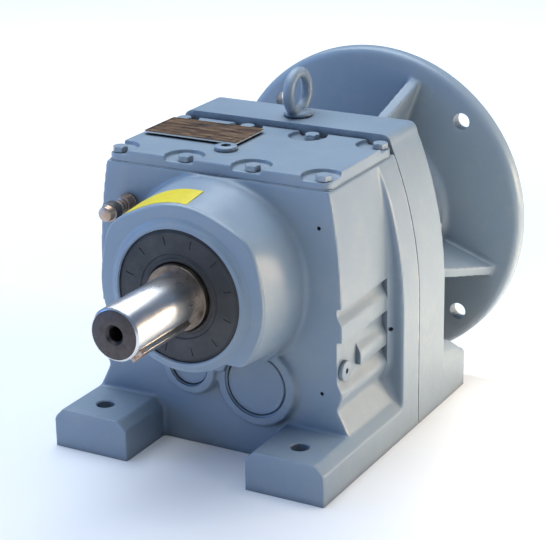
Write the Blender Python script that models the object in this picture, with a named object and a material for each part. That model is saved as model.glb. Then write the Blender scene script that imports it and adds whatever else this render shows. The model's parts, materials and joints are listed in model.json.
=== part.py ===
"""Foot-mounted two-stage helical gear unit with a round motor flange.

Lengths are in millimetres and become metres when a mesh is made.  The origin is the centre of the
four foot holes on the base plane: +Y runs from the output shaft towards the motor flange, +Z is up.
Every shaft lies along Y.  Angles in the XZ plane are measured from +X towards +Z.
"""
import math

import bmesh
import bpy
from mathutils import Matrix, Vector

MM = 0.001
GAP = 0.3                       # space kept between touching pieces

# feet and base
FOOT_HOLE_X = 107.5
FOOT_HOLE_Y = 130.0
FOOT_HOLE_R = 8.75
FOOT_END = 160.0
FOOT_INNER_X = 65.0
FOOT_TOP = 40.0
FOOT_EDGE = 10.0                # height of the chamfer along the outer edge
REAR_FOOT_TOP = 61.0

# housing, front to back
WALL_FRONT = -92.0
WALL_INNER = -80.0
BAND_FRONT = 8.0
PARTING = 44.0
GASKET = 0.8
HOUSING_FRONT = PARTING + 2 * GAP + GASKET
HOUSING_WALL = 78.0
HOUSING_BACK = 106.0
HALF_WIDTH = 147.5
PANEL_HALF_WIDTH = 131.5
STEP_HALF_WIDTH = 126.5         # side wall at the foot of its steps
CASE_TOP = 276.0
COVER_BOTTOM = CASE_TOP + 2 * GAP + GASKET
COVER_TOP = 288.0
HOUSING_TOP = 294.0
FLOOR = 8.0
CAVITY_HALF_WIDTH = 118.0
CAVITY_TOP = 260.0
WEB_FRONT = 0.0
WEB_BACK = 22.0
TOP_RADIUS = 9.0                # round corner along the rear housing's top

# housing outlines are drawn through these heights
CASE_LEVELS = (0, FOOT_TOP - FOOT_EDGE, FOOT_TOP, 62, 65.5, 66.5, 128, 150, 185, 217, 247, CASE_TOP)
HOUSING_LEVELS = (0, 128, 160, 190, 217, 247, 275, HOUSING_TOP)
CAVITY_LEVELS = (FLOOR, 128, 170, 210, CAVITY_TOP)
FLARE = ((0.0, HALF_WIDTH), (FOOT_TOP - FOOT_EDGE, HALF_WIDTH), (FOOT_TOP, 138.5), (62.0, 127.5),
         (65.5, STEP_HALF_WIDTH), (66.5, PANEL_HALF_WIDTH))   # height and half width above the front foot

# steps in the side walls: upper edge, lower edge; and the short rib between the lower ones
SIDE_STEPS = ((166.0, 148.0), (133.0, 81.0))
STEP_SLOPE = 10.0               # height of the slope at each lower edge
RIB_TOP, RIB_BOTTOM, RIB_START = 115.0, 97.5, -55.0

# shaft axes and the bores beside them: (x, z)
OUTPUT_AXIS = (0.0, 180.0)
INPUT_AXIS = (0.0, 154.0)
SPARE_BORE_AXIS = (-28.5, 85.0)

# bolts and plugs: (x, z) along Y, (x, y) along Z, (y, z) along X
CASE_BOLTS = [(side * x, z) for side in (1, -1) for x, z in ((133.0, 92.0), (130.0, 186.0), (60.0, 268.0))]
COVER_BOLTS = [(x, y) for y in (-82.0, 34.5) for x in (-109.0, -36.0, 36.0, 109.0)]
HUB_BOLT_PITCH_R = 64.0
LEVEL_PLUG = (-79.0, 101.0)
BREATHER_AXIS = (-95.0, 237.0)
COVER_PLUG = (-13.0, -47.0)
BOLT_POCKET_DEPTH = 4.5         # sunk seat of each cover bolt
POCKET_R = 15.5
PLATE_LOW = 290.3               # underside of the rating plate

# eye bolt
EYE_BOLT_SEAT = (0.0, 73.0)
EYE_RING_R = 19.5
EYE_WIRE_R = 5.5
EYE_CENTRE_Z = HOUSING_TOP + 24.5

# gears: teeth and module of each stage
FIRST_PINION, FIRST_GEAR, FIRST_MODULE = 17, 42, 3.0
SECOND_PINION, SECOND_GEAR, SECOND_MODULE = 17, 47, 3.5
TOOTH_THINNING = 0.22           # taken off each tooth's thickness, so that the teeth run with backlash
PRESSURE_ANGLE = math.radians(20)
FIRST_GEAR_SPAN = (30.0, 58.0)
SECOND_GEAR_SPAN = (-60.0, -15.0)
OUTPUT_TWIST = math.radians(5.0)            # turn of the wheel's teeth from one face to the other
FIRST_TWIST = math.radians(-4.0)

# output end
BOSS_FACE = -158.0
RIM_FACE = -162.0
BOSS_FLAT_Z = 121.0             # the boss is cut flat below this height
SHAFT_R = 25.0
SHAFT_SHOULDER = -166.0
SHAFT_END = -266.0
KEY_ANGLE = math.radians(-45)
KEY_WIDTH = 14.0
KEY_HEIGHT = 9.0
KEY_LENGTH = 80.0
KEYWAY_DEPTH = 5.5

# motor end
FLANGE_FRONT = 236.0
FLANGE_BACK = 250.0
FLANGE_R = 175.0
FLANGE_PITCH_R = 150.0
FLANGE_HOLE_R = 9.0
REGISTER_R = 125.0
REGISTER_DEPTH = 5.5
SPIGOT_R = 80.0                 # the motor flange sits on this end of the adapter housing
SPIGOT_BACK = 244.2
BELL_BORE_R = 74.0
HUB_R = 88.0
HUB_FRONT = HOUSING_BACK + GAP
GUSSET_ANGLES = (70, 160, 250, 340)
GUSSET_HALF_WIDTH = 5.5
FLANGE_ROUNDING = 6.0

# bearings: bore radius, outside radius, width
OUTPUT_FRONT = (32.0, 60.0, 23.0)
OUTPUT_REAR = (27.2, 50.0, 21.0)
BEARING_30 = (15.0, 31.0, 16.0)
BEARING_40 = (20.0, 40.0, 18.0)
BEARING_50 = (25.0, 45.0, 20.0)

# flats around a turned piece
BOSS_SIDES = 28
BEARING_SIDES = 24
SHAFT_SIDES = 24
FLANGE_SIDES = 40


def stage_centre():
    """Axis of the layshaft: the gear centre distances from the output and input axes meet there."""
    far = SECOND_MODULE * (SECOND_PINION + SECOND_GEAR) / 2
    near = FIRST_MODULE * (FIRST_PINION + FIRST_GEAR) / 2
    top, low = OUTPUT_AXIS[1], INPUT_AXIS[1]
    z = (top + low) / 2 - (far ** 2 - near ** 2) / (2 * (top - low))
    return math.sqrt(far ** 2 - (top - z) ** 2), z


LAYSHAFT_AXIS = stage_centre()


# ---------------------------------------------------------------- materials and objects

def make_material(name, colour, roughness, metallic):
    material = bpy.data.materials.new(name)
    material.use_nodes = True
    shader = material.node_tree.nodes["Principled BSDF"]
    shader.inputs["Base Color"].default_value = (*colour, 1.0)
    shader.inputs["Roughness"].default_value = roughness
    shader.inputs["Metallic"].default_value = metallic
    material.diffuse_color = (*colour, 1.0)
    return material


def add_object(name, shape, material=None, parent=None):
    """Turn a shape (a bmesh in millimetres) into an object, standing on its parent when it has one."""
    bmesh.ops.recalc_face_normals(shape, faces=shape.faces)
    offset = parent.location if parent else Vector((0, 0, 0))
    bmesh.ops.transform(shape, matrix=Matrix.Translation(-offset) @ Matrix.Scale(MM, 4), verts=shape.verts)
    mesh = bpy.data.meshes.new(name)
    shape.to_mesh(mesh)
    shape.free()
    mesh.shade_smooth()
    mesh.set_sharp_from_angle(angle=math.radians(32))
    piece = bpy.data.objects.new(name, mesh)
    bpy.context.collection.objects.link(piece)
    piece.parent = parent
    if material:
        mesh.materials.append(material)
    return piece


def add_axis(name, axis):
    """Empty on a shaft's axis, which carries everything that turns with the shaft."""
    empty = bpy.data.objects.new(name, None)
    empty.empty_display_size = 20 * MM
    empty.location = (axis[0] * MM, 0, axis[1] * MM)
    bpy.context.collection.objects.link(empty)
    return empty


def combine(piece, operation, *shapes):
    """Boolean of a piece with each shape in turn; a shape may also be a guide that is an object already."""
    for shape in shapes:
        label = f"guide_{operation.lower()}_{piece.name}_{len(piece.modifiers)}"
        guide = shape
        if not isinstance(shape, bpy.types.Object):
            guide = add_object(label, shape, parent=piece.parent)
        guide.hide_render = True
        guide.display_type = "WIRE"
        modifier = piece.modifiers.new(label, "BOOLEAN")
        modifier.operation = operation
        modifier.object = guide
        modifier.solver = "EXACT"


def cut(piece, *shapes):
    combine(piece, "DIFFERENCE", *shapes)


def fuse(piece, *shapes):
    combine(piece, "UNION", *shapes)


# ---------------------------------------------------------------- shapes

def merged(*shapes):
    """One shape out of several that lie clear of each other."""
    result = shapes[0]
    for shape in shapes[1:]:
        holder = bpy.data.meshes.new("holder")
        shape.to_mesh(holder)
        shape.free()
        result.from_mesh(holder)
        bpy.data.meshes.remove(holder)
    return result


def loft(sections, closed_ring=False):
    """Skin over sections, each a list of as many points; closed_ring joins the last to the first."""
    shape = bmesh.new()
    rows = [[shape.verts.new(point) for point in section] for section in sections]
    pairs = list(zip(rows, rows[1:]))
    if closed_ring:
        pairs.append((rows[-1], rows[0]))
    for row, following in pairs:
        for index in range(len(row)):
            after = (index + 1) % len(row)
            shape.faces.new((row[index], row[after], following[after], following[index]))
    if not closed_ring:
        shape.faces.new(rows[0])
        shape.faces.new(rows[-1])
    return shape


def place(axis, point, along):
    """3-D point for a flat outline's point: the outline lies across the named axis."""
    first, second = point
    if axis == "X":
        return along, first, second
    if axis == "Y":
        return first, along, second
    return first, second, along


def prism(axis, outline, low, high):
    return loft([[place(axis, point, along) for point in outline] for along in (low, high)])


def box(low, high):
    outline = [(low[0], low[1]), (high[0], low[1]), (high[0], high[1]), (low[0], high[1])]
    return prism("Z", outline, low[2], high[2])


def circle(centre, radius, count, start=0.0):
    step = 2 * math.pi / count
    return [(centre[0] + radius * math.cos(start + step * index),
             centre[1] + radius * math.sin(start + step * index)) for index in range(count)]


def rod(axis, centre, radius, low, high, count=24):
    """Cylinder along an axis; its flats are turned so that rods of one count stay parallel."""
    return prism(axis, circle(centre, radius, count, math.pi / count), low, high)


def turned(axis, centre, steps, count=24):
    """Solid turned from (along, radius) steps, without a bore."""
    start = math.pi / count
    return loft([[place(axis, point, along) for point in circle(centre, radius, count, start)]
                 for along, radius in steps])


def ring(axis, centre, section, count=24):
    """Ring turned from a closed section of (along, radius) points."""
    start = math.pi / count
    return loft([[place(axis, point, along) for point in circle(centre, radius, count, start)]
                 for along, radius in section], closed_ring=True)


def plain_ring(centre, inner, outer, low, high, count=24):
    return ring("Y", centre, [(low, inner), (low, outer), (high, outer), (high, inner)], count)


def rounded_rectangle(low, high, radius, steps=3):
    """Outline of a rectangle with round corners."""
    left, right = low[0] + radius, high[0] - radius
    bottom, top = low[1] + radius, high[1] - radius
    points = []
    for x, y, start in ((right, top, 0), (left, top, 90), (left, bottom, 180), (right, bottom, 270)):
        for step in range(steps + 1):
            angle = math.radians(start + 90 * step / steps)
            points.append((x + radius * math.cos(angle), y + radius * math.sin(angle)))
    return points


def ring_shape(count, radius, wire_r, centre, sides=6):
    """Torus around an X axis."""
    sections = []
    for index in range(count):
        angle = 2 * math.pi * index / count
        section = []
        for side in range(sides):
            turn = 2 * math.pi * side / sides
            reach = radius + wire_r * math.cos(turn)
            section.append((centre[0] + wire_r * math.sin(turn),
                            centre[1] + reach * math.cos(angle), centre[2] + reach * math.sin(angle)))
        sections.append(section)
    return loft(sections, closed_ring=True)


# ---------------------------------------------------------------- housing outlines

def side_x(z, width, straight_top, arc_r):
    """Half width of a housing outline: upright to straight_top, then leaning in on an arc."""
    rise = max(0.0, z - straight_top)
    return width - (arc_r - math.sqrt(arc_r ** 2 - rise ** 2))


def band_x(z):
    return side_x(z, HALF_WIDTH, 128.0, 400.0)


def panel_x(z):
    """Half width of the narrower front part, with the flare down to the foot."""
    for (z_low, x_low), (z_high, x_high) in zip(FLARE, FLARE[1:]):
        if z <= z_high:
            return x_low + (x_high - x_low) * (z - z_low) / (z_high - z_low)
    return side_x(z, PANEL_HALF_WIDTH, 150.0, 660.0)


def cavity_x(z):
    return side_x(z, CAVITY_HALF_WIDTH, 128.0, 400.0)


def mirrored(levels, half_width, top_radius=0.0):
    """Closed outline, symmetric about X = 0, through the half width at each level."""
    right = [(half_width(z), z) for z in levels]
    if top_radius:
        x, z = right.pop()
        for turn in (10, 35, 60, 90):
            angle = math.radians(turn)
            right.append((x - top_radius * (1 - math.cos(angle)), z - top_radius * (1 - math.sin(angle))))
    return right + [(-x, z) for x, z in reversed(right)]


# ---------------------------------------------------------------- housing pieces

def side_steps(side):
    """Sunk strips along one side wall: square above, sloping out below."""
    outside = PANEL_HALF_WIDTH + 2.0
    run = STEP_SLOPE * 2.0 / (PANEL_HALF_WIDTH - STEP_HALF_WIDTH)
    shapes = []
    for top, bottom in SIDE_STEPS:
        outline = [(side * outside, top), (side * STEP_HALF_WIDTH, top - 1),
                   (side * STEP_HALF_WIDTH, bottom + STEP_SLOPE), (side * outside, bottom - run)]
        shapes.append(prism("Y", outline, WALL_FRONT - 2, BAND_FRONT - 5.5))
    return shapes


def side_rib(side):
    """Raised strip that stands in the lower sunk one, behind the plug."""
    root = STEP_HALF_WIDTH - 2.0
    outline = [(root, RIB_BOTTOM), (PANEL_HALF_WIDTH, RIB_BOTTOM), (PANEL_HALF_WIDTH, RIB_TOP),
               (STEP_HALF_WIDTH, RIB_TOP + STEP_SLOPE), (root, RIB_TOP + STEP_SLOPE)]
    return prism("Y", [(side * x, z) for x, z in outline], RIB_START, BAND_FRONT - 3)


def front_foot(side):
    outline = [(FOOT_INNER_X, 0), (HALF_WIDTH, 0), (HALF_WIDTH, FOOT_TOP - FOOT_EDGE), (138.5, FOOT_TOP),
               (FOOT_INNER_X + 9, FOOT_TOP), (FOOT_INNER_X, FOOT_TOP - 9)]
    return prism("Y", [(side * x, z) for x, z in outline], -FOOT_END, WALL_FRONT + 5)


def rods(axis, centres, radius, low, high, count):
    return merged(*[rod(axis, centre, radius, low, high, count) for centre in centres])


def foot_holes(y):
    return rods("Z", ((FOOT_HOLE_X, y), (-FOOT_HOLE_X, y)), FOOT_HOLE_R, -5, FOOT_TOP + 5, 16)


def output_boss():
    """The boss as a shape of its own: a cone cut flat underneath, as a hidden object."""
    steps = [(WALL_FRONT + 5, 95.5), (WALL_FRONT - 8, 94.5), (BOSS_FACE + 4, 88.5), (BOSS_FACE, 85.5)]
    cone = add_object("guide_boss", turned("Y", OUTPUT_AXIS, steps, BOSS_SIDES))
    cut(cone, box((-120, BOSS_FACE - 5, 60), (120, WALL_FRONT - 12, BOSS_FLAT_Z)))
    return cone


def build_gear_case(paint):
    """Front housing: body, band at the parting plane, front feet, output boss and bearing seats."""
    panel = mirrored(CASE_LEVELS, panel_x)
    band = mirrored(CASE_LEVELS, band_x)
    sections = [(panel, WALL_FRONT), (panel, BAND_FRONT - 5), (band, BAND_FRONT), (band, PARTING)]
    case = add_object("gear_case", loft([[place("Y", point, y) for point in outline]
                                         for outline, y in sections]), paint)
    fuse(case, merged(front_foot(1), front_foot(-1)))
    # the boss with the round rim on its face
    rim = [(WALL_FRONT + 5, 72), (RIM_FACE + 1, 70.5), (RIM_FACE, 69.5)]
    fuse(case, output_boss(), turned("Y", OUTPUT_AXIS, rim, BOSS_SIDES))
    fuse(case, merged(rod("Y", LAYSHAFT_AXIS, 42, WALL_FRONT - 6, WALL_INNER - 2, 28),
                      rod("Y", SPARE_BORE_AXIS, 29, WALL_FRONT - 11, WALL_INNER - 2, 24)))
    # hollows before and behind the bearing web, and the opening on top
    front_hollow = prism("Y", mirrored(CAVITY_LEVELS, cavity_x), WALL_INNER, WEB_FRONT)
    rear_hollow = prism("Y", mirrored(CAVITY_LEVELS, cavity_x), WEB_BACK, PARTING + 5)
    cut(case, merged(front_hollow, rear_hollow))
    cut(case, box((-94, -70, CAVITY_TOP - 10), (94, -6, CASE_TOP + 5)))
    fuse(case, rod("Y", LAYSHAFT_AXIS, 40, WALL_INNER - 3, -67, 28))
    # bores: output boss, web, layshaft seat, spare bore, oil passage
    seat = [(RIM_FACE - 5, 64.0), (-149, 64.0), (-149, 60.3), (-122, 60.3), (-122, 48.0),
            (WALL_INNER + 5, 48.0)]
    cut(case, turned("Y", OUTPUT_AXIS, seat, BOSS_SIDES))
    cut(case, rod("Y", OUTPUT_AXIS, 50.3, WEB_FRONT - 5, WEB_BACK + 5, BEARING_SIDES))
    cut(case, turned("Y", LAYSHAFT_AXIS, [(WALL_FRONT - 20, 31.3), (-72, 31.3), (-72, 26), (-60, 26)], 24))
    cut(case, rod("Y", LAYSHAFT_AXIS, 36, WEB_FRONT - 5, WEB_BACK + 5, 24))
    cut(case, rod("Y", SPARE_BORE_AXIS, 20.3, WALL_FRONT - 20, WALL_FRONT + 3, 20))
    oil_passage = rounded_rectangle((-100, 24), (-22, 96), 12)
    cut(case, prism("Y", oil_passage, WEB_FRONT - 5, WEB_BACK + 5))
    # outside: steps in the side walls, plug threads, bolt holes
    cut(case, merged(*side_steps(1)), merged(*side_steps(-1)))
    fuse(case, side_rib(1), side_rib(-1))
    cut(case, merged(rod("X", LEVEL_PLUG, 7.3, 110, 136, 16), rod("X", LEVEL_PLUG, 7.3, -136, -110, 16)))
    cut(case, rod("Y", BREATHER_AXIS, 6.3, WALL_FRONT - 5, WALL_INNER + 5, 12))
    cut(case, foot_holes(-FOOT_HOLE_Y))
    cut(case, rods("Z", COVER_BOLTS, 4.4, CASE_TOP - 14, CASE_TOP + 5, 8))
    cut(case, rods("Y", CASE_BOLTS, 6.5, PARTING - 25, PARTING + 5, 8))
    return case


def rear_foot(side):
    """Foot block with an outer rib whose top is rounded off towards the back."""
    block = [(FOOT_INNER_X, 0), (HALF_WIDTH, 0), (HALF_WIDTH, FOOT_TOP - 3), (HALF_WIDTH - 2, FOOT_TOP),
             (FOOT_INNER_X + 9, FOOT_TOP), (FOOT_INNER_X, FOOT_TOP - 9)]
    return prism("Y", [(side * x, z) for x, z in block], HOUSING_BACK - 5, FOOT_END)


def rear_rib(side):
    """Rib over the foot's outer edge, lofted from the housing wall to the foot's end."""
    sections = []
    for y, top in ((HOUSING_BACK - 5, REAR_FOOT_TOP + 4), (122, REAR_FOOT_TOP), (138, REAR_FOOT_TOP - 6),
                   (150, FOOT_TOP + 6), (157, FOOT_TOP - 3)):
        lean = (top - FOOT_TOP + 4) * 0.45
        outline = [(127, 20), (HALF_WIDTH - 0.05, 20), (HALF_WIDTH - 0.05, FOOT_TOP - 4),
                   (HALF_WIDTH - max(lean, 0.5), top), (130, top)]
        sections.append([(side * x, y, z) for x, z in outline])
    return loft(sections)


def hub_bolts():
    return circle(INPUT_AXIS, HUB_BOLT_PITCH_R, 4)


def build_rear_housing(paint):
    """Rear housing: deep cover that carries the rear bearings, the motor hub and the rear feet."""
    outline = mirrored(HOUSING_LEVELS, band_x, TOP_RADIUS)
    housing = add_object("rear_housing", prism("Y", outline, HOUSING_FRONT, HOUSING_BACK), paint)
    fuse(housing, merged(rear_foot(1), rear_foot(-1)))
    fuse(housing, merged(rear_rib(1), rear_rib(-1)))
    cut(housing, prism("Y", mirrored(CAVITY_LEVELS, cavity_x), HOUSING_FRONT - 5, HOUSING_WALL))
    seat = [(HOUSING_WALL - 5, 33.0), (84.0, 33.0), (84.0, 40.3), (HOUSING_BACK + 5, 40.3)]
    cut(housing, turned("Y", INPUT_AXIS, seat, 28))
    cut(housing, rod("Y", LAYSHAFT_AXIS, 31.3, HOUSING_WALL - 5, 98, 24))
    cut(housing, foot_holes(FOOT_HOLE_Y))
    cut(housing, rods("Y", CASE_BOLTS, 6.5, HOUSING_FRONT - 5, HOUSING_BACK + 5, 8))
    cut(housing, rods("Y", hub_bolts(), 5.3, 88, HOUSING_BACK + 5, 12))
    cut(housing, rod("Z", EYE_BOLT_SEAT, 6.3, HOUSING_TOP - 24, HOUSING_TOP + 5, 12))
    return housing


def build_eye_bolt(paint):
    """Lifting eye: a ring around X on a collar, with its threaded shank in the housing."""
    seat = HOUSING_TOP + GAP
    steps = [(HOUSING_TOP - 22, 6.0), (seat, 6.0), (seat, 14.5), (seat + 4, 14.5), (seat + 9, 7.5),
             (EYE_CENTRE_Z - EYE_RING_R + 1, 5.5)]
    eye = add_object("eye_bolt", turned("Z", EYE_BOLT_SEAT, steps, 16), paint)
    fuse(eye, ring_shape(18, EYE_RING_R, EYE_WIRE_R, (0, EYE_BOLT_SEAT[1], EYE_CENTRE_Z)))
    return eye


def build_case_gasket(rubber):
    """Sheet gasket in the parting plane, shaped like the faces that it seals."""
    levels = (0.5, 128, 160, 190, 217, 247, CASE_TOP - 0.5)
    front, back = PARTING + GAP, PARTING + GAP + GASKET
    sheet = prism("Y", mirrored(levels, lambda z: band_x(z) - 1.0), front, back)
    gasket = add_object("case_gasket", sheet, rubber)
    opening = mirrored(CAVITY_LEVELS, lambda z: cavity_x(z) + 0.5)
    cut(gasket, prism("Y", opening, front - 3, back + 3))
    cut(gasket, rods("Y", CASE_BOLTS, 6.7, front - 3, back + 3, 8))
    return gasket


def cover_outline(inset):
    half = panel_x(CASE_TOP) - inset
    return rounded_rectangle((-half, WALL_FRONT + inset), (half, PARTING - inset), 6.0)


def build_inspection_cover(paint):
    """Flat lid over the case's top opening, with a sunk seat around each bolt."""
    cover = add_object("inspection_cover", prism("Z", cover_outline(0.0), COVER_BOTTOM, COVER_TOP), paint)
    cut(cover, rods("Z", COVER_BOLTS, POCKET_R, COVER_TOP - BOLT_POCKET_DEPTH, COVER_TOP + 5, 16))
    cut(cover, rods("Z", COVER_BOLTS, 4.4, COVER_BOTTOM - 5, COVER_TOP, 8))
    cut(cover, rod("Z", COVER_PLUG, 8.3, COVER_BOTTOM - 5, COVER_TOP + 5, 16))
    return cover


def build_cover_gasket(rubber):
    """Sheet gasket under the inspection cover."""
    low, high = CASE_TOP + GAP, CASE_TOP + GAP + GASKET
    gasket = add_object("cover_gasket", prism("Z", cover_outline(1.0), low, high), rubber)
    cut(gasket, box((-95, -71, low - 3), (95, -5, high + 3)))
    cut(gasket, rods("Z", COVER_BOLTS, 4.6, low - 3, high + 3, 8))
    return gasket


def build_nameplate(metal):
    """Blank rating plate on four short feet, on the cover's left half."""
    outline = rounded_rectangle((-113, -35), (-9, 21), 3.0, 2)
    plate = add_object("nameplate", prism("Z", outline, PLATE_LOW, PLATE_LOW + 2), metal)
    feet = [(x, y) for x in (-107, -15) for y in (-29, 15)]
    fuse(plate, rods("Z", feet, 3.5, COVER_TOP + GAP, PLATE_LOW + 1, 8))
    return plate


def build_boss_label(plastic):
    """Thin blank label bent around the output boss."""
    first, last, steps = 85.0, 131.0, 12
    rows = []
    for step in range(steps + 1):
        angle = math.radians(first + (last - first) * step / steps)
        rows.append([(reach * math.cos(angle), y, OUTPUT_AXIS[1] + reach * math.sin(angle))
                     for y, reach in ((-154, 89.3), (-154, 89.8), (-124, 92.8), (-124, 92.3))])
    return add_object("boss_label", loft(rows), plastic)


# ---------------------------------------------------------------- fasteners and plugs

def hex_bolt(name, material, axis, centre, seat, sizes):
    """Hexagon head bolt: sizes are the head's radius and height, the shank's radius and length."""
    head_r, head_height, shank_r, length = sizes
    head = prism(axis, circle(centre, head_r, 6), seat, seat + head_height)
    bolt = add_object(name, head, material)
    fuse(bolt, rod(axis, centre, shank_r, seat - length, seat + head_height / 2, 8))
    return bolt


def build_fasteners(paint, steel):
    seat = COVER_TOP - BOLT_POCKET_DEPTH + GAP
    for index, centre in enumerate(COVER_BOLTS, 1):
        hex_bolt(f"cover_bolt_{index}", paint, "Z", centre, seat, (7.5, 5.5, 4.0, 20.0))
    for index, centre in enumerate(CASE_BOLTS, 1):
        hex_bolt(f"case_bolt_{index}", paint, "Y", centre, HOUSING_BACK + GAP, (10.4, 7.5, 6.0, 80.0))
    for index, centre in enumerate(hub_bolts(), 1):
        screw = add_object(f"adapter_bolt_{index}", rod("Y", centre, 8.0, 144.3, 154.3, 16), steel)
        fuse(screw, rod("Y", centre, 5.0, 90, 149, 12))
        cut(screw, prism("Y", circle(centre, 4.5, 6), 149.5, 160))


def build_plugs(paint, brass, steel):
    """Breather, vent plug, oil level and drain plugs, and the caps over the two small bores."""
    front = WALL_FRONT - GAP
    steps = [(WALL_INNER, 6.0), (front, 6.0), (front, 9.5), (front - 9, 9.5), (front - 9, 7.0),
             (front - 22, 7.0), (front - 22, 5.0), (front - 26, 5.0)]
    add_object("breather_body", turned("Y", BREATHER_AXIS, steps, 12), brass)
    cap = [(front - 24.5, 9.0), (front - 26, 9.6), (front - 34, 9.6), (front - 36, 7.2), (front - 42, 7.0)]
    breather_cap = add_object("breather_cap", turned("Y", BREATHER_AXIS, cap, 18), brass)
    cut(breather_cap, rod("Y", BREATHER_AXIS, 5.4, front - 30, front - 20, 12))
    vent_steps = [(COVER_BOTTOM - 4, 8.0), (COVER_TOP + GAP, 8.0), (COVER_TOP + GAP, 11.0),
                  (COVER_TOP + 3.5, 11.0), (COVER_TOP + 4.5, 9.5)]
    vent = add_object("cover_plug", turned("Z", COVER_PLUG, vent_steps, 20), paint)
    cut(vent, prism("Z", circle(COVER_PLUG, 5.2, 6), COVER_TOP - 2, COVER_TOP + 10))
    for name, side in (("oil_level_plug", 1), ("oil_drain_plug", -1)):
        head = side * (STEP_HALF_WIDTH + GAP)
        plug = [(side * 112, 7.0), (head, 7.0), (head, 9.6), (side * 131, 9.6), (side * 131.8, 8.8)]
        piece = add_object(name, turned("X", LEVEL_PLUG, plug, 16), steel)
        cut(piece, prism("X", circle(LEVEL_PLUG, 3.6, 6), *sorted((side * 126, side * 140))))
    layshaft_cap = [(-91, 31.0), (-95, 31.0), (-96, 30.0)]
    add_object("layshaft_bore_cap", turned("Y", LAYSHAFT_AXIS, layshaft_cap, 24), paint)
    spare_cap = [(-89.3, 20.0), (-98, 20.0), (-99, 19.0)]
    add_object("spare_bore_cap", turned("Y", SPARE_BORE_AXIS, spare_cap, 20), paint)


# ---------------------------------------------------------------- gears, shafts and bearings

def involute_turn(radius, base_r):
    """Angle by which an involute has unwound at a radius."""
    if radius <= base_r:
        return 0.0
    pressure = math.acos(base_r / radius)
    return math.tan(pressure) - pressure


def gear_outline(teeth, module, phase):
    """Tooth outline around (0, 0): root, working point and tip on each flank; a tooth centred on phase."""
    pitch_r = teeth * module / 2
    base_r = pitch_r * math.cos(PRESSURE_ANGLE)
    half_tooth = math.pi / (2 * teeth) - TOOTH_THINNING / (2 * pitch_r)
    radii = (pitch_r - 1.25 * module, pitch_r, pitch_r + module)
    at_pitch = half_tooth + involute_turn(pitch_r, base_r)
    halves = [at_pitch - involute_turn(radius, base_r) for radius in radii]
    halves[0] = min(halves[0], 0.9 * math.pi / teeth)
    points = []
    for tooth in range(teeth):
        middle = phase + 2 * math.pi * tooth / teeth
        flank = [(radius, middle - half) for radius, half in zip(radii, halves)]
        flank += [(radius, middle + half) for radius, half in zip(reversed(radii), reversed(halves))]
        points += [(radius * math.cos(angle), radius * math.sin(angle)) for radius, angle in flank]
    return points


def helical_teeth(axis, teeth, module, phase, twist, low, high, slices=1):
    """Toothed solid along Y, its outline turning by twist from low to high."""
    sections = []
    for index in range(slices + 1):
        share = index / slices
        outline = gear_outline(teeth, module, phase + twist * (share - 0.5))
        sections.append([(axis[0] + x, low + (high - low) * share, axis[1] + z) for x, z in outline])
    return loft(sections)


def direction_angle(start, end):
    return math.atan2(end[1] - start[1], end[0] - start[0])


def key_shape(axis, angle, inner, outer, width, low, high):
    """Block along Y whose middle lies at an angle around an axis, from one radius to another."""
    across = Vector((-math.sin(angle), math.cos(angle)))
    out = Vector((math.cos(angle), math.sin(angle)))
    centre = Vector(axis)
    corners = [centre + out * inner - across * width / 2, centre + out * outer - across * width / 2,
               centre + out * outer + across * width / 2, centre + out * inner + across * width / 2]
    return prism("Y", [tuple(corner) for corner in corners], low, high)


def build_bearing(prefix, axis, sizes, low, carrier, steel, sides=BEARING_SIDES):
    """Ball bearing as its two races; the inner one turns with its shaft."""
    bore_r, outer_r, width = sizes
    high = low + width
    middle = (bore_r + outer_r) / 2
    track = (outer_r - bore_r) * 0.16
    inner = plain_ring(axis, bore_r + GAP, middle - track, low, high, SHAFT_SIDES)
    outer = plain_ring(axis, middle + track, outer_r, low, high, sides)
    add_object(f"{prefix}_inner_race", inner, steel, carrier)
    add_object(f"{prefix}_outer_race", outer, steel)


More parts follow.
